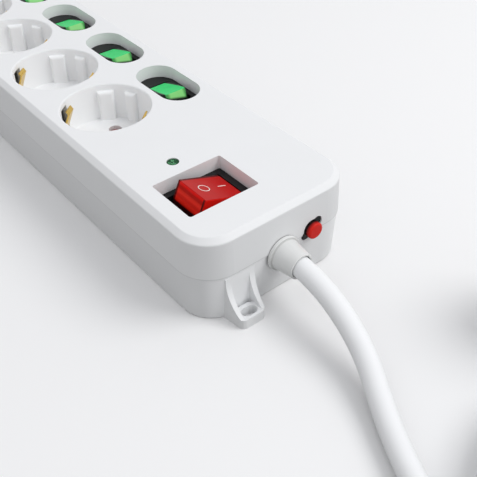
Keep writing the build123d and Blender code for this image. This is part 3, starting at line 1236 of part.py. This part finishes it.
def all_pieces():
    """Every piece under its node name."""
    pieces = {
        "top_cover": top_cover(),
        "base_tray": base_tray(),
        "casing_screws": casing_screws(),
        "main_switch_body": main_switch_body(),
        "main_rocker": main_rocker(),
        "main_switch_blades": main_switch_blades(),
        "main_switch_lamp": main_switch_lamp(),
        "outlet_switch_blades": outlet_switch_blades(),
        "outlet_switch_lamps": outlet_switch_lamps(),
        "neutral_bus": neutral_bus(),
        "line_bus": line_bus(),
        "earth_bus": earth_bus(),
        "indicator_lens": indicator_lens(),
        "indicator_led": indicator_led(),
        "protection_board": protection_board(),
        "varistors": varistors(),
        "film_capacitor": film_capacitor(),
        "breaker_body": breaker_body(),
        "breaker_blades": breaker_blades(),
        "reset_button": reset_button(),
        "cable_gland": cable_gland(),
        "cord_sheath_end": cord_sheath_end(),
        "clamp_saddle": clamp_saddle(),
        "clamp_screws": clamp_screws(),
    }
    for number, x in enumerate(OUTLET_X, 1):
        pieces[f"outlet_switch_body_{number}"] = outlet_switch_body(x)
        pieces[f"outlet_rocker_{number}"] = outlet_rocker(x)
        pieces[f"shutter_{number}"] = shutter(x)
        pieces[f"contact_carrier_{number}"] = contact_carrier(x)
        pieces[f"line_contact_{number}"] = line_contact(x)
    pieces["line_wires"], pieces["neutral_wires"], pieces["earth_wire"] = wiring()
    pieces["cord_lead"], lead_length = cord_lead()
    pieces["cord_coil"], coil = cord_coil()
    pieces["plug_body"] = plug_body(coil)
    pieces["plug_pins"] = plug_pins(coil)
    pieces["plug_earth_strips"] = plug_earth_strips(coil)
    print("cord outside the casing", round(lead_length + coil.length, 1))
    place = plug_place(coil)
    print("plug place", [round(v, 2) for v in place.position], "turn", round(place.orientation.Z, 2))
    return pieces


os.makedirs("parts", exist_ok=True)
for name, shape in all_pieces().items():
    export_step(shape, f"parts/{name}.step")
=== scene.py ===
import math

import bmesh
import bpy
from mathutils import Matrix, Vector


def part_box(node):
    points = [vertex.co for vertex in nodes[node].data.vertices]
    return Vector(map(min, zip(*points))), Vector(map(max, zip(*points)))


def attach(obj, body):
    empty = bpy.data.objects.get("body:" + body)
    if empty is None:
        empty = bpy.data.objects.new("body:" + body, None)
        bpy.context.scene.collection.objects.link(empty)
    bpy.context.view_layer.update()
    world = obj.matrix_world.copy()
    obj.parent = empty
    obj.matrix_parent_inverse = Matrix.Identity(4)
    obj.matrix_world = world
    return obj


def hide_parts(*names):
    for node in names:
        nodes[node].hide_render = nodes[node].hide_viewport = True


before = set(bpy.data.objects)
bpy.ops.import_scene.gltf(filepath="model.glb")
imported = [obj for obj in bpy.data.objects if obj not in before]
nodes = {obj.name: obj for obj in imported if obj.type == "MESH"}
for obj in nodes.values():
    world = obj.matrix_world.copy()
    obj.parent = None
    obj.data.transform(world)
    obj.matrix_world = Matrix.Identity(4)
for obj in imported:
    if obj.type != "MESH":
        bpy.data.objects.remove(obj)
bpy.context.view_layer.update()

MM = 0.001

# Places on the solids, in millimetres and degrees
HALF_LENGTH = 140
PARTING_HEIGHT = 21.5
MAIN_PIVOT = (109.3, -12.47, 28.2)
MAIN_TILT = 19.07
MAIN_ROCKER_TOP = 9.25
OUTLET_SWITCH_Y = 21.8


# Shader nodes

def put(tree, socket, value):
    """Gives an input a plain value, or links another node's output to it."""
    if isinstance(value, bpy.types.NodeSocket):
        tree.links.new(value, socket)
    else:
        socket.default_value = value


def add(tree, kind, values, **settings):
    """New shader node with its own settings, and values or links for its inputs, which go by name or number."""
    node = tree.nodes.new("ShaderNode" + kind)
    for key, setting in settings.items():
        setattr(node, key, setting)
    for key, value in values.items():
        put(tree, node.inputs[key], value)
    return node


def maths(tree, operation, *values):
    """One sum on sockets or plain numbers."""
    return add(tree, "Math", dict(enumerate(values)), operation=operation).outputs[0]


def product(tree, *factors):
    """Product of any number of sockets or plain numbers."""
    result = factors[0]
    for factor in factors[1:]:
        result = maths(tree, "MULTIPLY", result, factor)
    return result


def ramp(tree, value, low, high, kind="SMOOTHSTEP"):
    """Rises from 0 to 1 between two limits, which may be given in falling order."""
    limits = {"Value": value, "From Min": low, "From Max": high}
    return add(tree, "MapRange", limits, interpolation_type=kind).outputs["Result"]


def band(tree, value, start, full, fade, end):
    """Rises to 1 between the first two limits and falls again between the last two."""
    return product(tree, ramp(tree, value, start, full), ramp(tree, value, end, fade))


def mix(tree, first, second, factor):
    """Blend of two colours, each given as a colour or a socket."""
    return add(tree, "Mix", {"A": first, "B": second, "Factor": factor}, data_type="RGBA").outputs["Result"]


def place_on(tree):
    """Place on the piece in metres."""
    return add(tree, "TexCoord", {}).outputs["Object"]


def place_from(tree, origin, tilt=0.0):
    """Place on the piece in millimetres from an origin, turned about X by an angle: three sockets."""
    steps = {0: place_on(tree), 1: [1 / MM] * 3, 2: [-c for c in origin]}
    shifted = add(tree, "VectorMath", steps, operation="MULTIPLY_ADD").outputs["Vector"]
    turn = {"Vector": shifted, "Angle": math.radians(tilt)}
    turned = add(tree, "VectorRotate", turn, rotation_type="X_AXIS").outputs["Vector"]
    return add(tree, "SeparateXYZ", {0: turned}).outputs


def facing(tree, axis):
    """How far the surface faces along one axis of the piece, either way: 0 to 1."""
    normal = add(tree, "TexCoord", {}).outputs["Normal"]
    return maths(tree, "ABSOLUTE", add(tree, "SeparateXYZ", {0: normal}).outputs[axis])


# Materials

def linear(rgb):
    """Colour from 0-255 screen values to the linear values that Blender takes."""
    def one(v):
        v /= 255
        return v / 12.92 if v <= 0.04045 else ((v + 0.055) / 1.055) ** 2.4
    return (*map(one, rgb), 1)


def shade(colour, factor):
    """A darker or lighter version of a linear colour."""
    return tuple(min(1, c * factor) for c in colour[:3]) + (1,)


GRAIN_WIDTH = 0.35 * MM
GRAIN_STRENGTH = 0.5
LEAST_ROUGH = 0.02
# Shares of a speck, and of the reach of all specks, inside which their colour is full
SPECK_CORE, REACH_CORE = 0.4, 0.6
STRIPE_EDGE = (0.45, 0.55)


def surface(name, rgb, rough, mottle=0.03, mottle_mm=9, grain_mm=0.012, spread=0.05, glow=(255, 255, 255), **sockets):
    """Principled material with slow colour variation, uneven gloss and a fine moulded grain.

    The colour varies by the share mottle over patches of mottle_mm, the roughness by spread, and the grain
    is grain_mm high. Any other name is an input of the shader.
    """
    mat = bpy.data.materials.new(name)
    mat.use_nodes = True
    tree = mat.node_tree
    place = place_on(tree)
    colour = linear(rgb)
    slow = add(tree, "TexNoise", {"Scale": 1 / (mottle_mm * MM), "Detail": 3, "Vector": place}).outputs["Fac"]
    fine = add(tree, "TexNoise", {"Scale": 1 / GRAIN_WIDTH, "Detail": 2, "Vector": place}).outputs["Fac"]
    limits = {"Value": slow, "To Min": max(LEAST_ROUGH, rough - spread), "To Max": rough + spread}
    grain = {"Strength": GRAIN_STRENGTH, "Distance": grain_mm * MM, "Height": fine}
    values = {
        "Base Color": mix(tree, shade(colour, 1 - mottle), shade(colour, 1 + mottle), slow),
        "Roughness": add(tree, "MapRange", limits).outputs["Result"],
        "Normal": add(tree, "Bump", grain).outputs["Normal"],
        "Emission Color": linear(glow),
        **{key.replace("_", " "): value for key, value in sockets.items()},
    }
    for key, value in values.items():
        put(tree, tree.nodes["Principled BSDF"].inputs[key], value)
    return mat


def lay(mat, name, colour, factor):
    """Lays a colour over what one colour input of a material has so far."""
    tree = mat.node_tree
    socket = tree.nodes["Principled BSDF"].inputs[name]
    before = socket.links[0].from_socket if socket.links else tuple(socket.default_value)
    put(tree, socket, mix(tree, before, colour, factor))


def tint(mat, colour, *factors):
    """Lays screen values or a socket over the base colour, and over the glow where there is one."""
    tree = mat.node_tree
    if isinstance(colour, tuple):
        colour = linear(colour)
    factor = product(tree, *factors)
    lay(mat, "Base Color", colour, factor)
    if tree.nodes["Principled BSDF"].inputs["Emission Strength"].default_value:
        lay(mat, "Emission Color", colour, factor)


def layers(tree, value, length, stops):
    """Colours laid out along a value from 0 to a length: each stop is a place and screen values."""
    node = add(tree, "ValToRGB", {"Fac": maths(tree, "DIVIDE", value, length)})
    elements = node.color_ramp.elements
    while len(elements) < len(stops):
        elements.new(0.5)
    for element, (spot, rgb) in zip(elements, stops):
        element.position = spot / length
        element.color = linear(rgb)
    return node.outputs["Color"]


def speckle(mat, rgb, size_mm, share, middle=None, reach_mm=0):
    """Adds small specks of another colour, all over a part or only within reach of its middle."""
    tree = mat.node_tree
    place = place_on(tree)
    cells = add(tree, "TexVoronoi", {"Scale": 1 / (size_mm * MM), "Vector": place}).outputs["Distance"]
    factor = ramp(tree, cells, share, share * SPECK_CORE, "LINEAR")
    if middle:
        away = add(tree, "VectorMath", {0: place, 1: middle}, operation="DISTANCE").outputs["Value"]
        reach = reach_mm * MM
        factor = product(tree, factor, ramp(tree, away, reach, reach * REACH_CORE, "LINEAR"))
    lay(mat, "Base Color", linear(rgb), factor)


def stripes(mat, rgb, period_mm):
    """Adds slanting bands of a second colour, as on an earth core."""
    tree = mat.node_tree
    values = {"Scale": 1 / (period_mm * MM), "Vector": place_on(tree)}
    wave = add(tree, "TexWave", values, bands_direction="DIAGONAL").outputs["Fac"]
    lay(mat, "Base Color", linear(rgb), ramp(tree, wave, *STRIPE_EDGE, "LINEAR"))


cover_white = surface("cover_white", (239, 240, 241), 0.48, mottle=0.012, mottle_mm=14, Specular_IOR_Level=0.25)
base_white = surface("base_white", (235, 236, 237), 0.42, mottle=0.012, mottle_mm=14)
gland_white = surface("gland_white", (226, 227, 226), 0.5, mottle=0.02, grain_mm=0.02)
cord_white = surface("cord_white", (245, 246, 247), 0.55, mottle=0.015, grain_mm=0.03, Specular_IOR_Level=0.3)
plug_white = surface("plug_white", (233, 234, 236), 0.4, mottle=0.015)
switch_black = surface("switch_black", (22, 22, 24), 0.45, mottle=0.12, grain_mm=0.02, Specular_IOR_Level=0.25)
breaker_black = surface("breaker_black", (16, 16, 18), 0.5, mottle=0.12, Specular_IOR_Level=0.2)
rocker_red = surface("rocker_red", (174, 13, 10), 0.3, mottle=0.1, mottle_mm=4, grain_mm=0.006,
                     Specular_IOR_Level=0.1, glow=(200, 12, 6), Emission_Strength=0.1)
rocker_green = surface("rocker_green", (20, 172, 92), 0.2, mottle=0.22, mottle_mm=2.5, grain_mm=0.006,
                       Specular_IOR_Level=0.25, glow=(0, 235, 110), Emission_Strength=0.28)
button_red = surface("button_red", (214, 34, 24), 0.5, mottle=0.05, mottle_mm=3, grain_mm=0.02,
                     Specular_IOR_Level=0.2)
lens_green = surface("lens_green", (6, 66, 34), 0.25, mottle=0.35, mottle_mm=1.2, grain_mm=0.004,
                     Specular_IOR_Level=0.12, glow=(10, 90, 45), Emission_Strength=0.05)
led_green = surface("led_green", (80, 200, 110), 0.15, mottle_mm=2, glow=(60, 220, 110), Emission_Strength=0.6)
lamp_glass = surface("lamp_glass", (240, 190, 150), 0.06, mottle_mm=2, glow=(255, 150, 70), Emission_Strength=0.6)
shutter_pink = surface("shutter_pink", (205, 150, 150), 0.5, mottle=0.05, mottle_mm=4)
carrier_grey = surface("carrier_grey", (205, 205, 200), 0.5, mottle=0.04)
brass = surface("brass", (212, 178, 96), 0.3, mottle=0.1, mottle_mm=3, spread=0.12, Metallic=1.0)
tinned = surface("tinned", (196, 190, 170), 0.32, mottle=0.08, mottle_mm=3, spread=0.1, Metallic=1.0)
steel = surface("steel", (180, 182, 186), 0.3, mottle=0.1, mottle_mm=2, spread=0.1, Metallic=1.0)
nickel = surface("nickel", (214, 212, 208), 0.16, mottle=0.05, mottle_mm=5, Metallic=1.0)
board_green = surface("board_green", (30, 92, 58), 0.35, mottle=0.15, mottle_mm=2)
varistor_blue = surface("varistor_blue", (48, 88, 160), 0.35, mottle=0.08, mottle_mm=2)
capacitor_grey = surface("capacitor_grey", (168, 166, 158), 0.4, mottle=0.05)
core_brown = surface("core_brown", (96, 58, 36), 0.45, mottle=0.06)
core_blue = surface("core_blue", (42, 84, 170), 0.45, mottle=0.06)
core_earth = surface("core_earth", (70, 150, 60), 0.45, mottle=0.06)
mark_white = surface("mark_white", (240, 238, 232), 0.45, mottle_mm=1)
# Painted shade: dark marks standing in for the screws' cross recesses
recess_painted_shade = surface("recess_painted_shade", (40, 40, 42), 0.5, mottle=0.1, mottle_mm=1)

speckle(board_green, (196, 188, 160), 3.2, 0.18)
stripes(core_earth, (225, 205, 60), 2.5)
low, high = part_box("indicator_lens")
lens_top = ((low.x + high.x) / 2, (low.y + high.y) / 2, high.z)
speckle(lens_green, (120, 205, 145), 0.75, 0.45, middle=lens_top, reach_mm=2.2)


# Light and shade painted by place on the piece, all limits in millimetres

# Cover: painted light, a little lighter inside the wells and openings, and painted shade, darker along the parting
# line
tree = cover_white.node_tree
across, along, height = place_from(tree, (-18, 0, 38.9))
# Painted light: lighter inside the wells and openings
tint(cover_white, (247, 248, 249), ramp(tree, maths(tree, "ABSOLUTE", across), 113, 112),
     ramp(tree, maths(tree, "ABSOLUTE", along), 33.5, 32.5), ramp(tree, height, 0.3, -0.4))
# Painted shade: a darker line along the cover's lower edge at the parting line
height = place_from(tree, (0, 0, PARTING_HEIGHT))[2]
tint(cover_white, (120, 121, 122), ramp(tree, height, 0.4, 0.05), 0.3)

# Tray: painted light, lighter end walls
tree = base_white.node_tree
tint(base_white, (251, 252, 253), ramp(tree, facing(tree, "X"), 0.6, 0.9))

# Gland: dark lines of painted shade at the wall and behind the flange
tree = gland_white.node_tree
across = place_from(tree, (HALF_LENGTH, 0, 0))[0]
tint(gland_white, (96, 96, 92), ramp(tree, across, 0.4, 0.1), 0.75)
tint(gland_white, (150, 150, 146), band(tree, across, 1.35, 1.55, 1.7, 2.1), 0.3)

# Main rocker: bands of lighter and darker red up the raised end, painted light on the sides facing X, and painted
# shade on the edges and the foot
tree = rocker_red.node_tree
across, _, height = place_from(tree, MAIN_PIVOT, MAIN_TILT)
end_face = ramp(tree, facing(tree, "Y"), 0.55, 0.8)
tint(rocker_red, layers(tree, height, 10, [
    (1.4, (200, 30, 18)), (2.9, (222, 38, 24)), (3.9, (204, 28, 18)), (4.5, (214, 34, 22)), (5.2, (230, 48, 34)),
    (6.1, (218, 42, 28)), (6.8, (178, 20, 10)), (7.7, (176, 16, 6)), (8.3, (214, 14, 6)), (9.0, (222, 18, 8)),
]), end_face)
# Painted light: lighter red on the sides that face X
tint(rocker_red, (202, 22, 14), ramp(tree, facing(tree, "X"), 0.5, 0.9))
# Painted shade: dark lines along the rocker's edges
tint(rocker_red, (74, 4, 4), band(tree, across, 7.4, 7.85, 8.1, 8.9), end_face)
tint(rocker_red, (56, 4, 4), ramp(tree, across, -7.1, -7.7), 0.9)
# Painted shade: a dark foot low down in the bezel
tint(rocker_red, (42, 6, 8), ramp(tree, height, 1.75, 0.95))

# Outlet rockers: pale ends of painted light, in the glow too, long edges of painted shade that are dark and more so
# lower down, and a dark sloping foot of painted shade
tree = rocker_green.node_tree
_, along, height = place_from(tree, (0, OUTLET_SWITCH_Y, 36.2))
aside = maths(tree, "ABSOLUTE", along)
end_face = ramp(tree, facing(tree, "X"), 0.5, 0.8)
# Painted light: paler ends
tint(rocker_green, (122, 196, 112), end_face)
# Painted shade: darker edges on the ends, and dark long edges, more so lower down
tint(rocker_green, (26, 120, 52), ramp(tree, aside, 3.0, 4.8), end_face, 0.8)
dip = product(tree, maths(tree, "MINIMUM", height, 0.0), -0.45)
tint(rocker_green, (12, 24, 14), ramp(tree, maths(tree, "ADD", aside, dip), 5.0, 5.6))
# Painted shade: a dark sloping foot
foot = maths(tree, "ADD", height, product(tree, along, 0.18))
tint(rocker_green, (12, 24, 14), ramp(tree, foot, -0.75, -1.8), ramp(tree, facing(tree, "Z"), 0.9, 0.75))

# Reset button: painted shade, deep red towards the wall, with a black line round its foot
tree = button_red.node_tree
across = place_from(tree, (HALF_LENGTH, 0, 0))[0]
tint(button_red, (132, 6, 4), ramp(tree, across, 2.4, 1.0), 0.85)
tint(button_red, (16, 4, 4), ramp(tree, across, 1.15, 0.4))

WORN_BY = {
    cover_white: "top_cover",
    base_white: "base_tray",
    gland_white: "cable_gland",
    cord_white: "cord_sheath_end cord_lead cord_coil",
    plug_white: "plug_body",
    switch_black: "main_switch_body outlet_switch_body",
    breaker_black: "breaker_body",
    rocker_red: "main_rocker",
    rocker_green: "outlet_rocker",
    button_red: "reset_button",
    lens_green: "indicator_lens",
    led_green: "indicator_led",
    lamp_glass: "main_switch_lamp outlet_switch_lamps",
    shutter_pink: "shutter",
    carrier_grey: "contact_carrier clamp_saddle",
    brass: "line_contact neutral_bus line_bus earth_bus plug_earth_strips",
    tinned: "main_switch_blades outlet_switch_blades breaker_blades",
    steel: "casing_screws clamp_screws",
    nickel: "plug_pins",
    board_green: "protection_board",
    varistor_blue: "varistors",
    capacitor_grey: "film_capacitor",
    core_brown: "line_wires",
    core_blue: "neutral_wires",
    core_earth: "earth_wire",
}
looks = {family: mat for mat, families in WORN_BY.items() for family in families.split()}
for name, obj in nodes.items():
    numberless = name.rsplit("_", 1)[0]
    obj.data.materials.clear()
    obj.data.materials.append(looks[name if name in looks else numberless])


# Thin marks added to the solids, in millimetres

RING_RADIUS, RING_WIDTH, RING_ALONG = 2.2, 0.34, -4.05
BAR_LENGTH, BAR_WIDTH, BAR_ALONG = 4.0, 0.42, 4.85
MARK_HEIGHT = 0.1
# The screws' cross recesses are dark marks of painted shade
RECESS_LENGTH, RECESS_WIDTH, RECESS_HEIGHT = 3.2, 0.7, 0.06
RECESS_TURN = 0.3
SUNK = 0.02
RING_STEPS = 48
END_STEPS = 8
# A mark's edges soften from this share of its height, and draw in by a share of its width
SHOULDER = 0.7
RING_DRAW, BAR_DRAW = 0.25, 0.15
SCREW_SPOTS = [(128, 29.35), (128, -29.35), (-128, 29.35), (-128, -29.35), (11.8, 10.5), (-80.2, 10.5)]


def add_piece(name, bm, mat, body):
    """Makes an object from a bmesh in millimetres and lets it ride on a body."""
    bmesh.ops.scale(bm, vec=(MM, MM, MM), verts=bm.verts)
    bmesh.ops.recalc_face_normals(bm, faces=bm.faces)
    mesh = bpy.data.meshes.new(name)
    bm.to_mesh(mesh)
    bm.free()
    mesh.materials.append(mat)
    for face in mesh.polygons:
        face.use_smooth = True
    obj = bpy.data.objects.new(name, mesh)
    bpy.context.scene.collection.objects.link(obj)
    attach(obj, body)


def bridge(bm, first, second):
    """Faces between two closed loops of vertices."""
    for i in range(len(first)):
        j = (i + 1) % len(first)
        bm.faces.new((first[i], first[j], second[j], second[i]))


def ring_mark(bm, matrix, radius, width, height):
    """Flat ring with softened edges."""
    foot, top = width / 2, width / 2 - width * RING_DRAW
    profile = [(-foot, 0), (-foot, height * SHOULDER), (-top, height),
               (top, height), (foot, height * SHOULDER), (foot, 0)]
    turns = [2 * math.pi * i / RING_STEPS for i in range(RING_STEPS)]
    loops = []
    for out, z in profile:
        r = radius + out
        loops.append([bm.verts.new(matrix @ Vector((r * math.cos(turn), r * math.sin(turn), z))) for turn in turns])
    for inner, outer in zip(loops, loops[1:] + loops[:1]):
        bridge(bm, inner, outer)


def bar_mark(bm, matrix, length, width, height):
    """Flat bar with round ends and softened edges."""
    def outline(shrink, z):
        r = width / 2 - shrink
        points = []
        for end, start in ((1, -math.pi / 2), (-1, math.pi / 2)):
            for i in range(END_STEPS + 1):
                turn = start + math.pi * i / END_STEPS
                points.append((end * (length - width) / 2 + r * math.cos(turn), r * math.sin(turn), z))
        return [bm.verts.new(matrix @ Vector(p)) for p in points]
    rings = [outline(0, 0), outline(0, height * SHOULDER), outline(width * BAR_DRAW, height)]
    for lower, upper in zip(rings, rings[1:]):
        bridge(bm, lower, upper)
    bm.faces.new(rings[-1])
    bm.faces.new(list(reversed(rings[0])))


def on_main_rocker(along):
    """Place on the tilted top of the main rocker, with +X of the mark along the rocker."""
    return (Matrix.Translation(MAIN_PIVOT) @ Matrix.Rotation(math.radians(-MAIN_TILT), 4, "X")
            @ Matrix.Translation((0, along, MAIN_ROCKER_TOP - SUNK)) @ Matrix.Rotation(math.pi / 2, 4, "Z"))


bm = bmesh.new()
ring_mark(bm, on_main_rocker(RING_ALONG), RING_RADIUS, RING_WIDTH, MARK_HEIGHT)
add_piece("mark_off", bm, mark_white, "main_rocker")
bm = bmesh.new()
bar_mark(bm, on_main_rocker(BAR_ALONG), BAR_LENGTH, BAR_WIDTH, MARK_HEIGHT)
add_piece("mark_on", bm, mark_white, "main_rocker")

# Dark cross marks on the screws' heads, painted shade standing in for their cross recesses, each screw turned a
# little further than the last
screw_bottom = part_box("casing_screws")[0].z / MM
for number, (x, y) in enumerate(SCREW_SPOTS, 1):
    bm = bmesh.new()
    for turn in (RECESS_TURN * number, RECESS_TURN * number + math.pi / 2):
        place = (Matrix.Translation((x, y, screw_bottom + SUNK)) @ Matrix.Rotation(turn, 4, "Z")
                 @ Matrix.Rotation(math.pi, 4, "X"))
        bar_mark(bm, place, RECESS_LENGTH, RECESS_WIDTH, RECESS_HEIGHT)
    add_piece(f"screw_recess_shade_{number}", bm, recess_painted_shade, "casing")


# Cord: the lead's corners and the turns of the coil as points of one smooth line, in millimetres

CORD_RADIUS = 4.3
UPPER_LAYER = 13.45
LEAD = [
    (148.8, 0.0, 19.2), (160.3, -0.8, 19.2), (175.6, -2.6, 15.6), (191.4, -6.3, 9.8), (207.5, -14.9, 4.9),
    (224.1, -23.8, CORD_RADIUS), (243.3, -31.9, CORD_RADIUS), (263.0, -33.85, CORD_RADIUS),
    (281.4, -33.85, CORD_RADIUS), (290.0, -33.85, CORD_RADIUS),
]
TAIL = [
    (290.0, 80.15, UPPER_LAYER), (279.5, 80.15, UPPER_LAYER), (269.3, 77.42, UPPER_LAYER),
    (257.7, 74.31, UPPER_LAYER),
]
COIL_CENTRE = (290.0, 23.15)
COIL_RADIUS = 57.0
COIL_PITCH = 9.15
POINTS_PER_TURN = 24
# Half pitches that the line lies inside the coil's radius after each half turn: in on the lower layer,
# up to the other layer at CLIMB_START, and out again
INWARD = (0, 1, 2, 3, 4.25, 4.5, 3, 2, 1, 0)
CLIMB_START = 4


def coil_reach(half_turns):
    """Distance from the coil's centre after so many half turns."""
    k = min(int(half_turns), len(INWARD) - 2)
    inward = INWARD[k] + (INWARD[k + 1] - INWARD[k]) * (half_turns - k)
    return COIL_RADIUS - COIL_PITCH / 2 * inward


def coil_points():
    """Points round the coil, a little outside it because the line passes inside its points."""
    total = len(INWARD) - 1
    count = total * POINTS_PER_TURN // 2
    swell = 1 / math.cos(math.pi / POINTS_PER_TURN)
    points = []
    for i in range(1, count):
        half_turns = i * total / count
        turn = math.pi * (half_turns - 0.5)
        climb = (1 - math.cos(math.pi * min(1, max(0, half_turns - CLIMB_START)))) / 2
        reach = coil_reach(half_turns) * swell
        points.append((COIL_CENTRE[0] + reach * math.cos(turn), COIL_CENTRE[1] + reach * math.sin(turn),
                       CORD_RADIUS + COIL_PITCH * climb))
    return points


route = LEAD + coil_points() + TAIL
curve = bpy.data.curves.new("cord", "CURVE")
curve.dimensions = "3D"
curve.resolution_u = 6
curve.bevel_depth = CORD_RADIUS * MM
curve.bevel_resolution = 8
curve.use_fill_caps = True
line = curve.splines.new("NURBS")
line.points.add(len(route) - 1)
for point, spot in zip(line.points, route):
    point.co = (*(c * MM for c in spot), 1)
line.order_u = 3
line.use_endpoint_u = True
curve.materials.append(cord_white)
cord = bpy.data.objects.new("cord", curve)
bpy.context.scene.collection.objects.link(cord)
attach(cord, "casing")
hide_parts("cord_lead", "cord_coil")


# Floor, light and camera, in metres and watts

FLOOR_SIZE = 8
FLOOR_SEEN, FLOOR_LIT = 0.93, 0.3
FLOOR_FADE = (0.8, 3.2)
SKY_LEVEL = 0.68
SKY_LOW, SKY_HIGH = (1.0, 1.0, 0.985, 1), (0.955, 0.965, 1.01, 1)
KEY_AIM = Vector((0.08, 0, 0))
KEY_DIRECTION = Vector((0.46, 0.46, 0.76)).normalized()
KEY_DISTANCE, KEY_SIZE, KEY_POWER = 1.5, 0.9, 9.15


def seen_or_lit(tree, seen, lit):
    """Shader that is one thing to camera, gloss and clear rays, and another to the light on the object."""
    rays = add(tree, "LightPath", {}).outputs
    direct = maths(tree, "MAXIMUM", rays["Is Camera Ray"], rays["Is Glossy Ray"])
    direct = maths(tree, "MAXIMUM", direct, rays["Is Transmission Ray"])
    return add(tree, "MixShader", {0: direct, 1: lit, 2: seen}).outputs[0]


def matt(tree, grey):
    """Plain matt shader."""
    return add(tree, "BsdfDiffuse", {"Color": (grey, grey, grey, 1)}).outputs[0]


# The floor is pale where it is seen, fades into the white background, and throws little light back
floor_look = bpy.data.materials.new("floor")
floor_look.use_nodes = True
tree = floor_look.node_tree
tree.nodes.remove(tree.nodes["Principled BSDF"])
away = add(tree, "VectorMath", {0: place_on(tree)}, operation="LENGTH").outputs["Value"]
white = add(tree, "Emission", {}).outputs[0]
pale = add(tree, "MixShader", {0: ramp(tree, away, *FLOOR_FADE), 1: matt(tree, FLOOR_SEEN), 2: white}).outputs[0]
put(tree, tree.nodes["Material Output"].inputs["Surface"], seen_or_lit(tree, pale, matt(tree, FLOOR_LIT)))
bpy.ops.mesh.primitive_plane_add(size=FLOOR_SIZE)
floor = bpy.context.object
floor.name = "floor"
floor.data.materials.append(floor_look)

# The world is white where it is seen, and a soft sky to the object
world = bpy.data.worlds.new("studio")
bpy.context.scene.world = world
world.use_nodes = True
tree = world.node_tree
seen = tree.nodes["Background"]
put(tree, seen.inputs["Color"], (1, 1, 1, 1))
put(tree, seen.inputs["Strength"], 1)
direction = add(tree, "TexCoord", {}).outputs["Generated"]
sky = mix(tree, SKY_LOW, SKY_HIGH, add(tree, "SeparateXYZ", {0: direction}).outputs["Z"])
lit = add(tree, "Background", {"Color": sky, "Strength": SKY_LEVEL})
put(tree, tree.nodes["World Output"].inputs["Surface"], seen_or_lit(tree, seen.outputs[0], lit.outputs[0]))

key_data = bpy.data.lights.new("key", "AREA")
key_data.shape = "DISK"
key_data.size = KEY_SIZE
key_data.energy = KEY_POWER
key = bpy.data.objects.new("key", key_data)
key.location = KEY_AIM + KEY_DIRECTION * KEY_DISTANCE
key.rotation_euler = KEY_DIRECTION.to_track_quat("Z", "Y").to_euler()
bpy.context.scene.collection.objects.link(key)

# Camera, fitted to the photo: its angles stand round the target, with azimuth 0 in front of the long side
AZIMUTH, ELEVATION, ROLL = (math.radians(angle) for angle in (51.84, 40.40, -1.02))
TARGET, DISTANCE = (0.12383, -0.00840, 0.020), 0.29584
camera_data = bpy.data.cameras.new("camera")
camera_data.sensor_width = 36
camera_data.lens = 57.62
camera_data.clip_start = 0.01
camera = bpy.data.objects.new("camera", camera_data)
camera.matrix_world = (
    Matrix.Translation(TARGET) @ Matrix.Rotation(AZIMUTH, 4, "Z") @ Matrix.Rotation(math.pi / 2 - ELEVATION, 4, "X")
    @ Matrix.Rotation(ROLL, 4, "Z") @ Matrix.Translation((0, 0, DISTANCE))
)
bpy.context.scene.collection.objects.link(camera)
bpy.context.scene.camera = camera
bpy.context.scene.view_settings.view_transform = "Standard"
